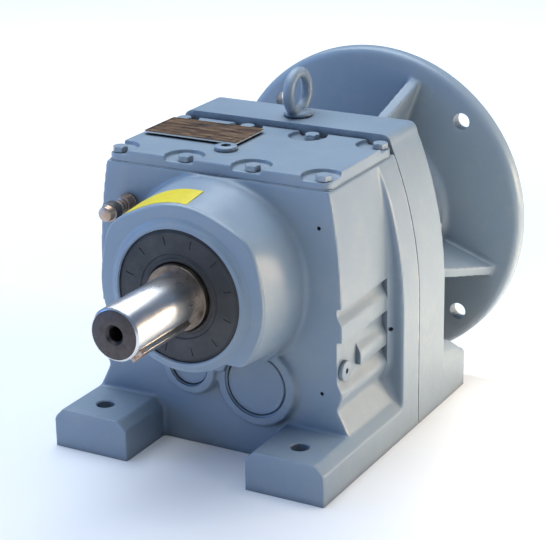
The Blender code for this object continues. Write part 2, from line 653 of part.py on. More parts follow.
def build_output(steel, dark):
    """Output shaft with its key, gear, spacer and bearings, and the seal cover in front of them."""
    carrier = add_axis("output_axis", OUTPUT_AXIS)
    steps = [(SHAFT_END, SHAFT_R - 1.6), (SHAFT_END + 1.6, SHAFT_R), (SHAFT_SHOULDER, SHAFT_R),
             (SHAFT_SHOULDER, 32.0), (-122, 32.0), (-122, 34.0), (-70, 34.0), (-70, 40.0), (-60.5, 40.0),
             (-60.5, 32.0), (-15, 32.0), (-15, 27.2), (23, 27.2)]
    shaft = add_object("output_shaft", turned("Y", OUTPUT_AXIS, steps, SHAFT_SIDES), steel, carrier)
    centre_hole = [(SHAFT_END - 2, 10.0), (SHAFT_END + 3, 7.0), (SHAFT_END + 34, 7.0), (SHAFT_END + 38, 2.0)]
    cut(shaft, turned("Y", OUTPUT_AXIS, centre_hole, 20))
    key_low = SHAFT_END + 6
    depth = SHAFT_R - KEYWAY_DEPTH
    cut(shaft, key_shape(OUTPUT_AXIS, KEY_ANGLE, depth, SHAFT_R + 5, KEY_WIDTH + 2 * GAP,
                         key_low - GAP, key_low + KEY_LENGTH + GAP))
    key = key_shape(OUTPUT_AXIS, KEY_ANGLE, depth + GAP, depth + KEY_HEIGHT, KEY_WIDTH,
                    key_low, key_low + KEY_LENGTH)
    add_object("output_key", key, steel, carrier)
    # the gear and the key that drives it
    low, high = SECOND_GEAR_SPAN
    mesh_angle = direction_angle(OUTPUT_AXIS, LAYSHAFT_AXIS)
    gear = add_object("output_gear", helical_teeth(OUTPUT_AXIS, SECOND_GEAR, SECOND_MODULE, mesh_angle,
                                                   OUTPUT_TWIST, low, high), steel, carrier)
    gear_key_angle = math.radians(90)
    cut(gear, rod("Y", OUTPUT_AXIS, 32.3, low - 5, high + 5, SHAFT_SIDES))
    cut(gear, key_shape(OUTPUT_AXIS, gear_key_angle, 20, 37 + GAP, 18 + 2 * GAP, low - 5, high + 5))
    cut(shaft, key_shape(OUTPUT_AXIS, gear_key_angle, 26 - GAP, 45, 18 + 2 * GAP, low + 2, high + 5))
    add_object("output_gear_key", key_shape(OUTPUT_AXIS, gear_key_angle, 26, 37, 18, low + 3, high),
               steel, carrier)
    add_object("output_spacer", plain_ring(OUTPUT_AXIS, 27.6, 36, -14.4, 0.2), steel, carrier)
    build_bearing("output_front_bearing", OUTPUT_AXIS, OUTPUT_FRONT, -145.5, carrier, steel, BOSS_SIDES)
    build_bearing("output_rear_bearing", OUTPUT_AXIS, OUTPUT_REAR, 0.5, carrier, steel)
    cover = [(RIM_FACE + 0.7, 33.2), (RIM_FACE + 0.7, 62.5), (RIM_FACE + 2, 63.7), (-149.5, 63.7),
             (-149.5, 33.2)]
    add_object("output_seal_cover", ring("Y", OUTPUT_AXIS, cover, BOSS_SIDES), dark)
    return carrier


def build_layshaft(steel):
    """Layshaft cut with the second pinion, carrying the first gear and its bearings."""
    carrier = add_axis("layshaft_axis", LAYSHAFT_AXIS)
    low, high = SECOND_GEAR_SPAN
    steps = [(-89.5, 15.0), (-73, 15.0), (-73, 20.0), (low, 20.0), (low, 22.0), (29.5, 24.0), (29.5, 20.0),
             (60, 20.0), (60, 18.0), (77, 18.0), (77, 15.0), (96, 15.0)]
    shaft = add_object("layshaft", turned("Y", LAYSHAFT_AXIS, steps, SHAFT_SIDES), steel, carrier)
    gap_angle = direction_angle(LAYSHAFT_AXIS, OUTPUT_AXIS)
    phase = gap_angle + math.pi / SECOND_PINION
    twist = -OUTPUT_TWIST * SECOND_GEAR / SECOND_PINION
    fuse(shaft, helical_teeth(LAYSHAFT_AXIS, SECOND_PINION, SECOND_MODULE, phase, twist,
                              low - 1, high + 1, 2))
    low, high = FIRST_GEAR_SPAN
    mesh_angle = direction_angle(LAYSHAFT_AXIS, INPUT_AXIS)
    gear = add_object("layshaft_gear", helical_teeth(LAYSHAFT_AXIS, FIRST_GEAR, FIRST_MODULE, mesh_angle,
                                                     FIRST_TWIST, low, high), steel, carrier)
    key_angle = math.radians(-60)
    cut(gear, rod("Y", LAYSHAFT_AXIS, 20.3, low - 5, high + 5, SHAFT_SIDES))
    cut(gear, key_shape(LAYSHAFT_AXIS, key_angle, 12, 24, 12 + 2 * GAP, low - 5, high + 5))
    cut(shaft, key_shape(LAYSHAFT_AXIS, key_angle, 15, 30, 12 + 2 * GAP, low + 1, high + 6))
    gear_key = key_shape(LAYSHAFT_AXIS, key_angle, 15 + GAP, 24 - GAP, 12, low + 2, high)
    add_object("layshaft_gear_key", gear_key, steel, carrier)
    build_bearing("layshaft_front_bearing", LAYSHAFT_AXIS, BEARING_30, -89, carrier, steel)
    build_bearing("layshaft_rear_bearing", LAYSHAFT_AXIS, BEARING_30, 79, carrier, steel)
    return carrier


def build_input(steel, rubber):
    """Input shaft with its pinion, bearings and seal, and the coupling hub for the motor's shaft."""
    carrier = add_axis("input_axis", INPUT_AXIS)
    low, high = FIRST_GEAR_SPAN
    steps = [(low - 2, 12.0), (high + 4, 12.0), (high + 4, 20.0), (104, 20.0), (104, 22.0), (119, 22.0),
             (119, 25.0), (141, 25.0), (141, 18.0), (188, 18.0)]
    add_object("input_shaft", turned("Y", INPUT_AXIS, steps, SHAFT_SIDES), steel, carrier)
    phase = direction_angle(INPUT_AXIS, LAYSHAFT_AXIS) + math.pi / FIRST_PINION
    twist = -FIRST_TWIST * FIRST_GEAR / FIRST_PINION
    pinion = add_object("input_pinion", helical_teeth(INPUT_AXIS, FIRST_PINION, FIRST_MODULE, phase, twist,
                                                      low, high, 2), steel, carrier)
    cut(pinion, rod("Y", INPUT_AXIS, 12.3, low - 5, high + 5, SHAFT_SIDES))
    build_bearing("input_front_bearing", INPUT_AXIS, BEARING_40, 85, carrier, steel)
    build_bearing("input_rear_bearing", INPUT_AXIS, BEARING_50, 120, carrier, steel)
    add_object("input_seal", plain_ring(INPUT_AXIS, 22.3, 35.6, 107, 116), rubber)
    sleeve = turned("Y", INPUT_AXIS, [(150, 40), (152, 42), (230, 42), (232, 40)], 28)
    hub = add_object("coupling_hub", sleeve, steel, carrier)
    cut(hub, turned("Y", INPUT_AXIS, [(140, 18.3), (190, 18.3), (190, 21.0), (240, 21.0)], SHAFT_SIDES))
    cut(hub, key_shape(INPUT_AXIS, math.radians(90), 15, 24.3, 12, 190, 240))
    return carrier


def build_adapter_housing(paint):
    """Bell between the rear housing and the motor flange, with its stiffening gussets."""
    rear = FLANGE_FRONT - GAP
    steps = [(HUB_FRONT, HUB_R), (rear, HUB_R), (rear, SPIGOT_R), (SPIGOT_BACK, SPIGOT_R)]
    bell = add_object("adapter_housing", turned("Y", INPUT_AXIS, steps, FLANGE_SIDES), paint)
    for turn in GUSSET_ANGLES:
        angle = math.radians(turn)
        out = Vector((math.cos(angle), 0, math.sin(angle)))
        across = Vector((-math.sin(angle), 0, math.cos(angle)))
        centre = Vector((INPUT_AXIS[0], 0, INPUT_AXIS[1]))
        corners = ((78, HUB_FRONT + 4), (HUB_R, HUB_FRONT + 4), (154, FLANGE_FRONT - 4), (154, rear),
                   (78, rear))
        sections = [[tuple(centre + out * r + across * shift + Vector((0, y, 0))) for r, y in corners]
                    for shift in (-GUSSET_HALF_WIDTH, GUSSET_HALF_WIDTH)]
        fuse(bell, loft(sections))
    bore = [(HUB_FRONT - 5, 36.0), (118, 36.0), (118, 45.5), (144, 45.5), (144, BELL_BORE_R),
            (FLANGE_BACK, BELL_BORE_R)]
    cut(bell, turned("Y", INPUT_AXIS, bore, BOSS_SIDES))
    cut(bell, rods("Y", hub_bolts(), 5.3, HUB_FRONT - 5, 149, 12))
    return bell


def build_input_flange(paint):
    """Round motor flange, shrunk on the spigot of the adapter housing."""
    edge = FLANGE_ROUNDING * 0.3
    steps = [(FLANGE_FRONT, FLANGE_R - FLANGE_ROUNDING), (FLANGE_FRONT + edge, FLANGE_R - edge),
             (FLANGE_FRONT + FLANGE_ROUNDING, FLANGE_R), (FLANGE_BACK - 1, FLANGE_R),
             (FLANGE_BACK, FLANGE_R - 1)]
    flange = add_object("input_flange", turned("Y", INPUT_AXIS, steps, FLANGE_SIDES), paint)
    register = FLANGE_BACK - REGISTER_DEPTH
    bore = [(FLANGE_FRONT - 5, SPIGOT_R + GAP), (register, SPIGOT_R + GAP), (register, REGISTER_R),
            (FLANGE_BACK + 5, REGISTER_R)]
    cut(flange, turned("Y", INPUT_AXIS, bore, FLANGE_SIDES))
    holes = circle(INPUT_AXIS, FLANGE_PITCH_R, 4, math.pi / 4)
    cut(flange, rods("Y", holes, FLANGE_HOLE_R, FLANGE_FRONT - 5, FLANGE_BACK + 5, 16))
    return flange


def build():
    for item in list(bpy.data.objects):
        bpy.data.objects.remove(item, do_unlink=True)
    paint = make_material("machine_paint", (0.30, 0.38, 0.50), 0.45, 0.0)
    steel = make_material("bright_steel", (0.62, 0.60, 0.57), 0.28, 1.0)
    dark = make_material("seal_black", (0.05, 0.05, 0.055), 0.6, 0.0)
    brass = make_material("aged_brass", (0.42, 0.30, 0.18), 0.45, 0.9)
    plate = make_material("plate_bronze", (0.30, 0.20, 0.13), 0.4, 0.8)
    label = make_material("label_yellow", (0.85, 0.72, 0.05), 0.5, 0.0)
    build_gear_case(paint)
    build_rear_housing(paint)
    build_adapter_housing(paint)
    build_input_flange(paint)
    build_inspection_cover(paint)
    build_case_gasket(dark)
    build_cover_gasket(dark)
    build_eye_bolt(paint)
    build_nameplate(plate)
    build_boss_label(label)
    build_fasteners(paint, steel)
    build_plugs(paint, brass, steel)
    build_output(steel, dark)
    build_layshaft(steel)
    build_input(steel, dark)


build()
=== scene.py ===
"""Looks of the foot-mounted helical gear unit: castings, machined pieces, finishes, light and camera.

Lengths are in millimetres in the CAD's frame and become metres when a mesh is made.  A casting is
rounded as a whole first (voxel remesh and smoothing) and machined afterwards, so that its bores
and joint faces keep crisp edges.
"""
import json
import math

import bmesh
import bpy
from mathutils import Matrix, Vector


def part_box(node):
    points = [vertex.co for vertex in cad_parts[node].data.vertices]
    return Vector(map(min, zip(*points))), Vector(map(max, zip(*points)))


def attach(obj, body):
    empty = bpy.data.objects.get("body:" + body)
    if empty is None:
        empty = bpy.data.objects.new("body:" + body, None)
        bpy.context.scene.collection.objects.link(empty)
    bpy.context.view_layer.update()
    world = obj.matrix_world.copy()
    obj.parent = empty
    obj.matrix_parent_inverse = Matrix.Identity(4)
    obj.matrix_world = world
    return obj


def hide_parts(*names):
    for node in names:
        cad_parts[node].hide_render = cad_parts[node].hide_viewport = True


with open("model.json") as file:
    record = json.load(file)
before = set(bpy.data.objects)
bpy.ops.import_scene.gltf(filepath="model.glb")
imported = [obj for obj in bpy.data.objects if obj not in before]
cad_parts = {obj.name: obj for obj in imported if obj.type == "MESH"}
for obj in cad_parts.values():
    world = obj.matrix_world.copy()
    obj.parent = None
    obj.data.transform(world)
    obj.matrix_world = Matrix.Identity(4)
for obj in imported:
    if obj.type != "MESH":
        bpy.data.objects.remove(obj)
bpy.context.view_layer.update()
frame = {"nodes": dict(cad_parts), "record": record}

MM = 0.001
NODES = frame["nodes"]
RECORD = frame["record"]
BODY_OF = {node: body for body, nodes in RECORD["behaviour"]["bodies"].items() for node in nodes}
SLOT_OF = {part["node"]: part["material_slot"] for part in RECORD["subparts"]}
JOINTS = {joint["name"]: joint for joint in RECORD["behaviour"]["joints"]}


def span(node):
    """Lowest and highest corner of a CAD node, in millimetres."""
    low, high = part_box(node)
    return low / MM, high / MM


def middle(node):
    low, high = span(node)
    return (low + high) / 2


def seen_along(axis, node):
    """Middle of a CAD node in the plane across an axis."""
    point = middle(node)
    return tuple(value for value, name in zip(point, "XYZ") if name != axis)


def bolt_centres(axis, stem, count):
    return [seen_along(axis, f"{stem}_{index}") for index in range(1, count + 1)]


def joint_axis(name):
    x, _, z = JOINTS[name]["pos_m"]
    return x / MM, z / MM


# axes across Y as (x, z), across X as (y, z) and across Z as (x, y)
OUTPUT_AXIS = joint_axis("output_spin")
LAYSHAFT_AXIS = joint_axis("layshaft_spin")
INPUT_AXIS = joint_axis("input_spin")
SPARE_AXIS = seen_along("Y", "spare_bore_cap")
BREATHER_AXIS = seen_along("Y", "breather_body")
LEVEL_PLUG = seen_along("X", "oil_level_plug")
COVER_PLUG = seen_along("Z", "cover_plug")
EYE_AXIS = seen_along("Z", "eye_bolt")
COVER_BOLTS = bolt_centres("Z", "cover_bolt", 8)
CASE_BOLTS = bolt_centres("Y", "case_bolt", 6)
HUB_BOLTS = bolt_centres("Y", "adapter_bolt", 4)

CASE_LOW, CASE_HIGH = span("gear_case")
HOUSING_LOW, HOUSING_HIGH = span("rear_housing")
COVER_LOW, COVER_HIGH = span("inspection_cover")
FLANGE_HIGH = span("input_flange")[1]
HUB_FRONT = span("adapter_housing")[0].y
RIM_FACE = CASE_LOW.y
BOSS_FACE = RIM_FACE + 4.0
WALL_FRONT = RIM_FACE + 70.0
WALL_INNER = WALL_FRONT + 12.0
WEB = (-5.0, 27.0)
PARTING = CASE_HIGH.y
BAND_FRONT = PARTING - 36.0
HALF_WIDTH = CASE_HIGH.x
PANEL_HALF_WIDTH = HALF_WIDTH - 16.0
STEP_HALF_WIDTH = PANEL_HALF_WIDTH - 5.0
CASE_TOP = CASE_HIGH.z
CASE_BOLT_HEAD = 7.8
HOUSING_BACK = span("case_bolt_1")[1].y - CASE_BOLT_HEAD
FOOT_TOP = 40.0
FOOT_END = HOUSING_HIGH.y
FOOT_CHAMFER_X = 138.5
FOOT_INNER_X = 65.0
FOOT_HOLE_X = 107.5
FOOT_HOLE_Y = 130.0

BOSS_R = 86.5
BOSS_CORNER = 6.5
BOSS_CORNER_ANGLES = (38.0, 142.0)
BOSS_CORNER_SPREAD = 15.0
BOSS_TAPER = 9.0
BLIND_HOLE_R = 1.9
KEY_ANGLE = -45.0
POCKET_R = 18.5
POCKET_DEPTH = 4.5
GAP = 0.3
REACH = 400.0
SHARP = math.radians(32)

# planes across Y inside the castings
SEAL_STOP = -149.0
BEARING_STOP = -122.0
GEAR_SHOULDER = (-70.0, -60.5)
REAR_JOURNAL = -15.0
LAYSHAFT_STOP = -72.0
REAR_BOSS = 73.0
REAR_CAVITY = 78.0
INPUT_STOP = 84.0
OIL_SEAL_STOP = 118.0
ADAPTER_STOP = 144.0

FLOOR_REACH = 30000.0


# -------- shapes (bmesh, millimetres)

def loft(sections, closed_ring=False):
    shape = bmesh.new()
    rows = [[shape.verts.new(point) for point in section] for section in sections]
    pairs = list(zip(rows, rows[1:]))
    if closed_ring:
        pairs.append((rows[-1], rows[0]))
    for row, following in pairs:
        for index in range(len(row)):
            after = (index + 1) % len(row)
            shape.faces.new((row[index], row[after], following[after], following[index]))
    if not closed_ring:
        shape.faces.new(rows[0])
        shape.faces.new(rows[-1])
    bmesh.ops.recalc_face_normals(shape, faces=shape.faces)
    return shape


def merged(*shapes):
    result = shapes[0]
    for shape in shapes[1:]:
        holder = bpy.data.meshes.new("holder")
        shape.to_mesh(holder)
        shape.free()
        result.from_mesh(holder)
        bpy.data.meshes.remove(holder)
    return result


def place(axis, point, along):
    first, second = point
    if axis == "X":
        return along, first, second
    if axis == "Y":
        return first, along, second
    return first, second, along


def prism(axis, outline, low, high):
    return loft([[place(axis, point, along) for point in outline] for along in (low, high)])


def box(low, high):
    outline = [(low[0], low[1]), (high[0], low[1]), (high[0], high[1]), (low[0], high[1])]
    return prism("Z", outline, low[2], high[2])


def beyond(axis, plane, direction=1):
    """Block that takes away everything past a plane, as a milling cut does."""
    low, high = [-REACH] * 3, [REACH] * 3
    (low if direction > 0 else high)["XYZ".index(axis)] = plane
    return box(low, high)


def circle(centre, radius, count, start=0.0):
    step = 2 * math.pi / count
    return [(centre[0] + radius * math.cos(start + step * index),
             centre[1] + radius * math.sin(start + step * index)) for index in range(count)]


def round_sections(axis, centre, steps, count):
    """One circle for each (along, radius) step."""
    return [[place(axis, point, along) for point in circle(centre, radius, count, math.pi / count)]
            for along, radius in steps]


def turned(axis, centre, steps, count=96):
    return loft(round_sections(axis, centre, steps, count))


def ring(axis, centre, section, count=96):
    return loft(round_sections(axis, centre, section, count), closed_ring=True)


def rod(axis, centre, radius, low, high, count=48):
    return turned(axis, centre, [(low, radius), (high, radius)], count)


def rods(axis, centres, radius, low, high, count=32):
    return merged(*[rod(axis, centre, radius, low, high, count) for centre in centres])


def rounded_rectangle(low, high, radius, steps=8):
    left, right = low[0] + radius, high[0] - radius
    bottom, top = low[1] + radius, high[1] - radius
    points = []
    for x, y, start in ((right, top, 0), (left, top, 90), (left, bottom, 180), (right, bottom, 270)):
        for step in range(steps + 1):
            angle = math.radians(start + 90 * step / steps)
            points.append((x + radius * math.cos(angle), y + radius * math.sin(angle)))
    return points


def radial_bar(centre, angle, inner, outer, width, low_y, high_y):
    """Bar along Y that reaches out from a centre (x, z) between two radii, at an angle in degrees."""
    turn = math.radians(angle)
    out = Vector((math.cos(turn), math.sin(turn)))
    across = Vector((-math.sin(turn), math.cos(turn))) * width / 2
    corners = [out * inner - across, out * outer - across, out * outer + across, out * inner + across]
    return prism("Y", [tuple(Vector(centre) + corner) for corner in corners], low_y, high_y)


def at_polar(centre, radius, angle, y):
    """Point at a radius and an angle in radians round an axis along Y."""
    return centre[0] + radius * math.cos(angle), y, centre[1] + radius * math.sin(angle)


# -------- objects

def add_object(name, shape):
    mesh = bpy.data.meshes.new(name)
    bmesh.ops.recalc_face_normals(shape, faces=shape.faces)
    bmesh.ops.transform(shape, matrix=Matrix.Scale(MM, 4), verts=shape.verts)
    shape.to_mesh(mesh)
    shape.free()
    piece = bpy.data.objects.new(name, mesh)
    bpy.context.scene.collection.objects.link(piece)
    return piece


def bake_modifiers(piece):
    """Replace a piece's mesh with its modifiers' result."""
    graph = bpy.context.evaluated_depsgraph_get()
    mesh = bpy.data.meshes.new_from_object(piece.evaluated_get(graph))
    piece.modifiers.clear()
    old = piece.data
    piece.data = mesh
    mesh.name = piece.name
    bpy.data.meshes.remove(old)


def boolean(piece, operation, *shapes, solver="MANIFOLD"):
    """Apply a Boolean with each shape in turn."""
    for shape in shapes:
        tool = add_object("tool", shape)
        modifier = piece.modifiers.new("boolean", "BOOLEAN")
        modifier.operation = operation
        modifier.object = tool
        modifier.solver = solver
        bake_modifiers(piece)
        mesh = tool.data
        bpy.data.objects.remove(tool)
        bpy.data.meshes.remove(mesh)
    return piece


def cut(piece, *shapes):
    return boolean(piece, "DIFFERENCE", *shapes)


def fuse(piece, *shapes):
    return boolean(piece, "UNION", *shapes)


def cast(name, shape, hollows=(), voxel=1.6, rounding=5):
    """Casting: shapes joined, hollows cut, then every edge rounded."""
    piece = add_object(name, shape)
    for hollow in hollows:
        boolean(piece, "DIFFERENCE", hollow, solver="EXACT")
    modifier = piece.modifiers.new("remesh", "REMESH")
    modifier.mode = "VOXEL"
    modifier.voxel_size = voxel * MM
    modifier.use_smooth_shade = True
    smooth = piece.modifiers.new("smooth", "SMOOTH")
    smooth.factor = 0.5
    smooth.iterations = rounding
    bake_modifiers(piece)
    return piece


def dress(piece, node, material, angle=SHARP):
    """Shade a piece, give it its material and let it stand for its CAD node."""
    piece.data.shade_smooth()
    piece.data.set_sharp_from_angle(angle=angle)
    piece.data.materials.clear()
    piece.data.materials.append(material)
    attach(piece, BODY_OF[node])
    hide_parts(node)
    return piece


# -------- materials

class Nodes:
    """Small helper around a material's node tree."""

    def __init__(self, name):
        self.material = bpy.data.materials.new(name)
        self.material.use_nodes = True
        self.tree = self.material.node_tree
        self.shader = self.tree.nodes["Principled BSDF"]
        self.coords = self.tree.nodes.new("ShaderNodeTexCoord").outputs["Object"]

    def feed(self, socket, value):
        """Write a number or a tuple into a socket, or link another node's output to it."""
        if isinstance(value, (int, float, tuple)):
            socket.default_value = value
        else:
            self.tree.links.new(value, socket)

    def add(self, kind, **inputs):
        node = self.tree.nodes.new(f"ShaderNode{kind}")
        for name, value in inputs.items():
            self.feed(node.inputs[name.replace("_", " ")], value)
        return node

    def noise(self, scale, detail=3.0, roughness=0.55, stretch=None):
        source = self.coords
        if stretch:
            source = self.add("Mapping", Vector=source, Scale=stretch).outputs["Vector"]
        node = self.add("TexNoise", Vector=source, Scale=scale, Detail=detail, Roughness=roughness)
        return node.outputs["Fac"]

    def ramp(self, source, low, high, to_low=0.0, to_high=1.0):
        node = self.add("MapRange", Value=source, From_Min=low, From_Max=high, To_Min=to_low,
                        To_Max=to_high)
        return node.outputs["Result"]

    def mix(self, factor, first, second):
        node = self.add("Mix")
        node.data_type = "RGBA"
        for index, value in ((0, factor), (6, first), (7, second)):
            self.feed(node.inputs[index], (*value, 1.0) if isinstance(value, tuple) else value)
        return node.outputs[2]

    def math(self, operation, first, second):
        node = self.add("Math")
        node.operation = operation
        self.feed(node.inputs[0], first)
        self.feed(node.inputs[1], second)
        return node.outputs[0]

    def pointiness(self):
        return self.add("NewGeometry").outputs["Pointiness"]

    def occlusion(self, distance):
        node = self.add("AmbientOcclusion", Distance=distance)
        node.samples = 6
        return node.outputs["AO"]

    def separate(self):
        return self.add("SeparateXYZ", Vector=self.coords).outputs

    def bump(self, height, distance, strength=1.0, normal=None):
        node = self.add("Bump", Height=height, Distance=distance, Strength=strength)
        if normal:
            self.feed(node.inputs["Normal"], normal)
        return node.outputs["Normal"]

    def uneven(self, scale, low, high):
        """Value that wanders between two others, for roughness."""
        return self.ramp(self.noise(scale, 3), 0.3, 0.7, low, high)

    def grain(self, scale, height, strength=0.5):
        return self.bump(self.noise(scale, 2, 0.5), height, strength)

    def surface(self, tint, roughness, metallic, relief):
        return self.set(Base_Color=tint, Roughness=roughness, Metallic=metallic, Normal=relief)

    def set(self, **values):
        for name, value in values.items():
            self.feed(self.shader.inputs[name.replace("_", " ")], value)
        return self.material


PAINT = (0.265, 0.335, 0.400)
PAINT_LIGHT = (0.305, 0.375, 0.435)
PAINT_DUST = (0.40, 0.42, 0.41)
PAINT_SHADE = (0.045, 0.055, 0.075)
PAINT_WORN_AND_HIGHLIGHT = (0.55, 0.58, 0.60)
# dark dirt for the specks, and the colour of the painted shade in corners
GRIME_AND_SHADE = (0.10, 0.105, 0.11)


def paint_material():
    """Semi-gloss enamel over cast iron: orange peel, a wavy cast skin, dust, dark specks, painted shade
    in corners and recesses.
    """
    nodes = Nodes("machine_paint")
    broad = nodes.ramp(nodes.noise(9, 2), 0.3, 0.7)
    tint = nodes.mix(broad, PAINT, PAINT_LIGHT)
    dust = nodes.ramp(nodes.noise(38, 5, 0.65), 0.52, 0.8, 0.0, 0.45)
    tint = nodes.mix(dust, tint, PAINT_DUST)
    specks = nodes.ramp(nodes.noise(520, 2, 0.5), 0.73, 0.78, 0.0, 0.55)
    tint = nodes.mix(specks, tint, GRIME_AND_SHADE)
    # painted shade: darker in tight corners and under the edges of steps, by ambient occlusion
    corner = nodes.ramp(nodes.occlusion(0.010), 0.40, 0.85, 0.75, 0.0)
    tint = nodes.mix(corner, tint, GRIME_AND_SHADE)
    # painted shade: broad darkening where other parts are near, by ambient occlusion
    shade = nodes.ramp(nodes.occlusion(0.14), 0.15, 0.75, 0.45, 0.0)
    tint = nodes.mix(shade, tint, PAINT_SHADE)
    # sharp edges paler in patches: partly worn paint, partly a painted highlight along the edges
    worn = nodes.math("MULTIPLY", nodes.ramp(nodes.pointiness(), 0.53, 0.60),
                      nodes.ramp(nodes.noise(60, 4, 0.7), 0.45, 0.65))
    tint = nodes.mix(nodes.math("MULTIPLY", worn, 0.55), tint, PAINT_WORN_AND_HIGHLIGHT)
    rough = nodes.ramp(nodes.noise(24, 4, 0.6), 0.25, 0.75, 0.30, 0.46)
    skin = nodes.bump(nodes.noise(70, 3, 0.5), 0.0011, 0.35)
    peel = nodes.bump(nodes.noise(430, 2, 0.5), 0.00022, 0.4, skin)
    return nodes.set(Base_Color=tint, Roughness=rough, Metallic=0.0, Normal=peel, Coat_Weight=0.15,
                     Coat_Roughness=0.18)


def polished_steel():
    """Ground shaft: turning marks around Y, a thin yellow-brown film in patches, a little rust."""
    nodes = Nodes("bright_steel")
    film = nodes.ramp(nodes.noise(14, 4, 0.6, (1.0, 0.45, 1.0)), 0.42, 0.68)
    tint = nodes.mix(nodes.math("MULTIPLY", film, 0.6), (0.84, 0.82, 0.79), (0.70, 0.58, 0.45))
    stain = nodes.ramp(nodes.noise(85, 5, 0.7), 0.66, 0.74, 0.0, 0.7)
    tint = nodes.mix(stain, tint, (0.22, 0.14, 0.09))
    lines = nodes.noise(240, 2, 0.6, (0.05, 6.0, 0.05))
    rough = nodes.ramp(nodes.noise(55, 4, 0.6, (1.0, 0.3, 1.0)), 0.3, 0.7, 0.24, 0.38)
    relief = nodes.bump(lines, 0.00006, 0.35)
    return nodes.surface(tint, rough, 1.0, relief)


def end_face_steel():
    """Saw-cut and oxidised end face of the shaft."""
    nodes = Nodes("shaft_end_steel")
    patches = nodes.ramp(nodes.noise(120, 5, 0.65), 0.35, 0.7)
    tint = nodes.mix(patches, (0.085, 0.07, 0.065), (0.15, 0.125, 0.115))
    relief = nodes.grain(700, 0.0001)
    return nodes.surface(tint, nodes.ramp(patches, 0, 1, 0.42, 0.6), 0.85, relief)


def key_steel():
    """Key: pale drawn steel with a rust bloom at its front end."""
    nodes = Nodes("key_steel")
    low, _ = span("output_key")
    along = nodes.separate()[1]
    front = nodes.ramp(along, (low.y + 1) * MM, (low.y + 12) * MM, 1.0, 0.0)
    rust = nodes.math("MULTIPLY", front, nodes.ramp(nodes.noise(160, 5, 0.7), 0.38, 0.6))
    patches = nodes.ramp(nodes.noise(45, 4, 0.6), 0.3, 0.7)
    tint = nodes.mix(patches, (0.62, 0.59, 0.54), (0.50, 0.43, 0.35))
    tint = nodes.mix(rust, tint, (0.42, 0.13, 0.03))
    relief = nodes.bump(nodes.noise(300, 3, 0.6, (1.0, 0.1, 1.0)), 0.00006, 0.5)
    rough = nodes.ramp(rust, 0, 1, 0.32, 0.8)
    return nodes.surface(tint, rough, nodes.ramp(rust, 0, 1, 1.0, 0.2), relief)


def collar_steel():
    """Brown oily steel of the collar round the shaft."""
    nodes = Nodes("collar_steel")
    patches = nodes.ramp(nodes.noise(60, 5, 0.65), 0.35, 0.7)
    tint = nodes.mix(patches, (0.16, 0.115, 0.085), (0.34, 0.27, 0.21))
    relief = nodes.grain(420, 0.00008)
    return nodes.surface(tint, nodes.uneven(90, 0.25, 0.5), 0.9, relief)


def gear_steel():
    """Oiled case-hardened steel of the gears, bearings and inner shafts."""
    nodes = Nodes("gear_steel")
    oil = nodes.ramp(nodes.noise(30, 4, 0.6), 0.35, 0.7)
    tint = nodes.mix(oil, (0.52, 0.51, 0.50), (0.40, 0.36, 0.31))
    relief = nodes.bump(nodes.noise(380, 2, 0.6, (0.2, 3.0, 0.2)), 0.00005, 0.5)
    return nodes.surface(tint, nodes.ramp(oil, 0, 1, 0.34, 0.2), 1.0, relief)


def dark_rubber(name="seal_black", shade=0.045):
    """Moulded rubber: matt, with dust and a fine grain."""
    nodes = Nodes(name)
    dust = nodes.ramp(nodes.noise(42, 5, 0.65), 0.4, 0.75, 0.0, 0.5)
    tint = nodes.mix(dust, (shade, shade * 0.94, shade * 0.88), (0.115, 0.11, 0.105))
    relief = nodes.grain(900, 0.00008)
    return nodes.surface(tint, nodes.uneven(60, 0.46, 0.66), 0.0, relief)


def brass_material():
    """Dull brass of the breather: pink-brown where worn, with painted shade in its grooves."""
    nodes = Nodes("aged_brass")
    patches = nodes.ramp(nodes.noise(90, 4, 0.6), 0.3, 0.7)
    tint = nodes.mix(patches, (0.64, 0.48, 0.40), (0.42, 0.29, 0.17))
    # painted shade: nearly black in narrow grooves and corners, by ambient occlusion
    corner = nodes.ramp(nodes.occlusion(0.004), 0.3, 0.9, 0.85, 0.0)
    tint = nodes.mix(corner, tint, (0.03, 0.025, 0.02))
    relief = nodes.grain(600, 0.00008, 0.4)
    return nodes.surface(tint, nodes.uneven(120, 0.3, 0.5), 0.9, relief)


def plate_material():
    """Rating plate: brown etched field, rubbed through to pale bronze in streaks."""
    nodes = Nodes("plate_bronze")
    streaks = nodes.ramp(nodes.noise(95, 6, 0.72, (0.4, 1.9, 1.0)), 0.40, 0.66)
    tint = nodes.mix(streaks, (0.075, 0.036, 0.020), (0.40, 0.25, 0.13))
    blotch = nodes.ramp(nodes.noise(34, 4, 0.6), 0.50, 0.68, 0.0, 0.65)
    tint = nodes.mix(blotch, tint, (0.022, 0.014, 0.012))
    relief = nodes.grain(500, 0.00008)
    return nodes.surface(tint, nodes.ramp(streaks, 0, 1, 0.5, 0.34), 0.55, relief)


def plate_edge_material():
    """Bare pale metal of the plate's cut edge."""
    nodes = Nodes("plate_bronze_bare")
    patches = nodes.ramp(nodes.noise(150, 4, 0.6), 0.35, 0.7)
    tint = nodes.mix(patches, (0.90, 0.86, 0.76), (0.74, 0.64, 0.48))
    relief = nodes.grain(600, 0.00006)
    return nodes.surface(tint, nodes.uneven(80, 0.30, 0.45), 0.25, relief)


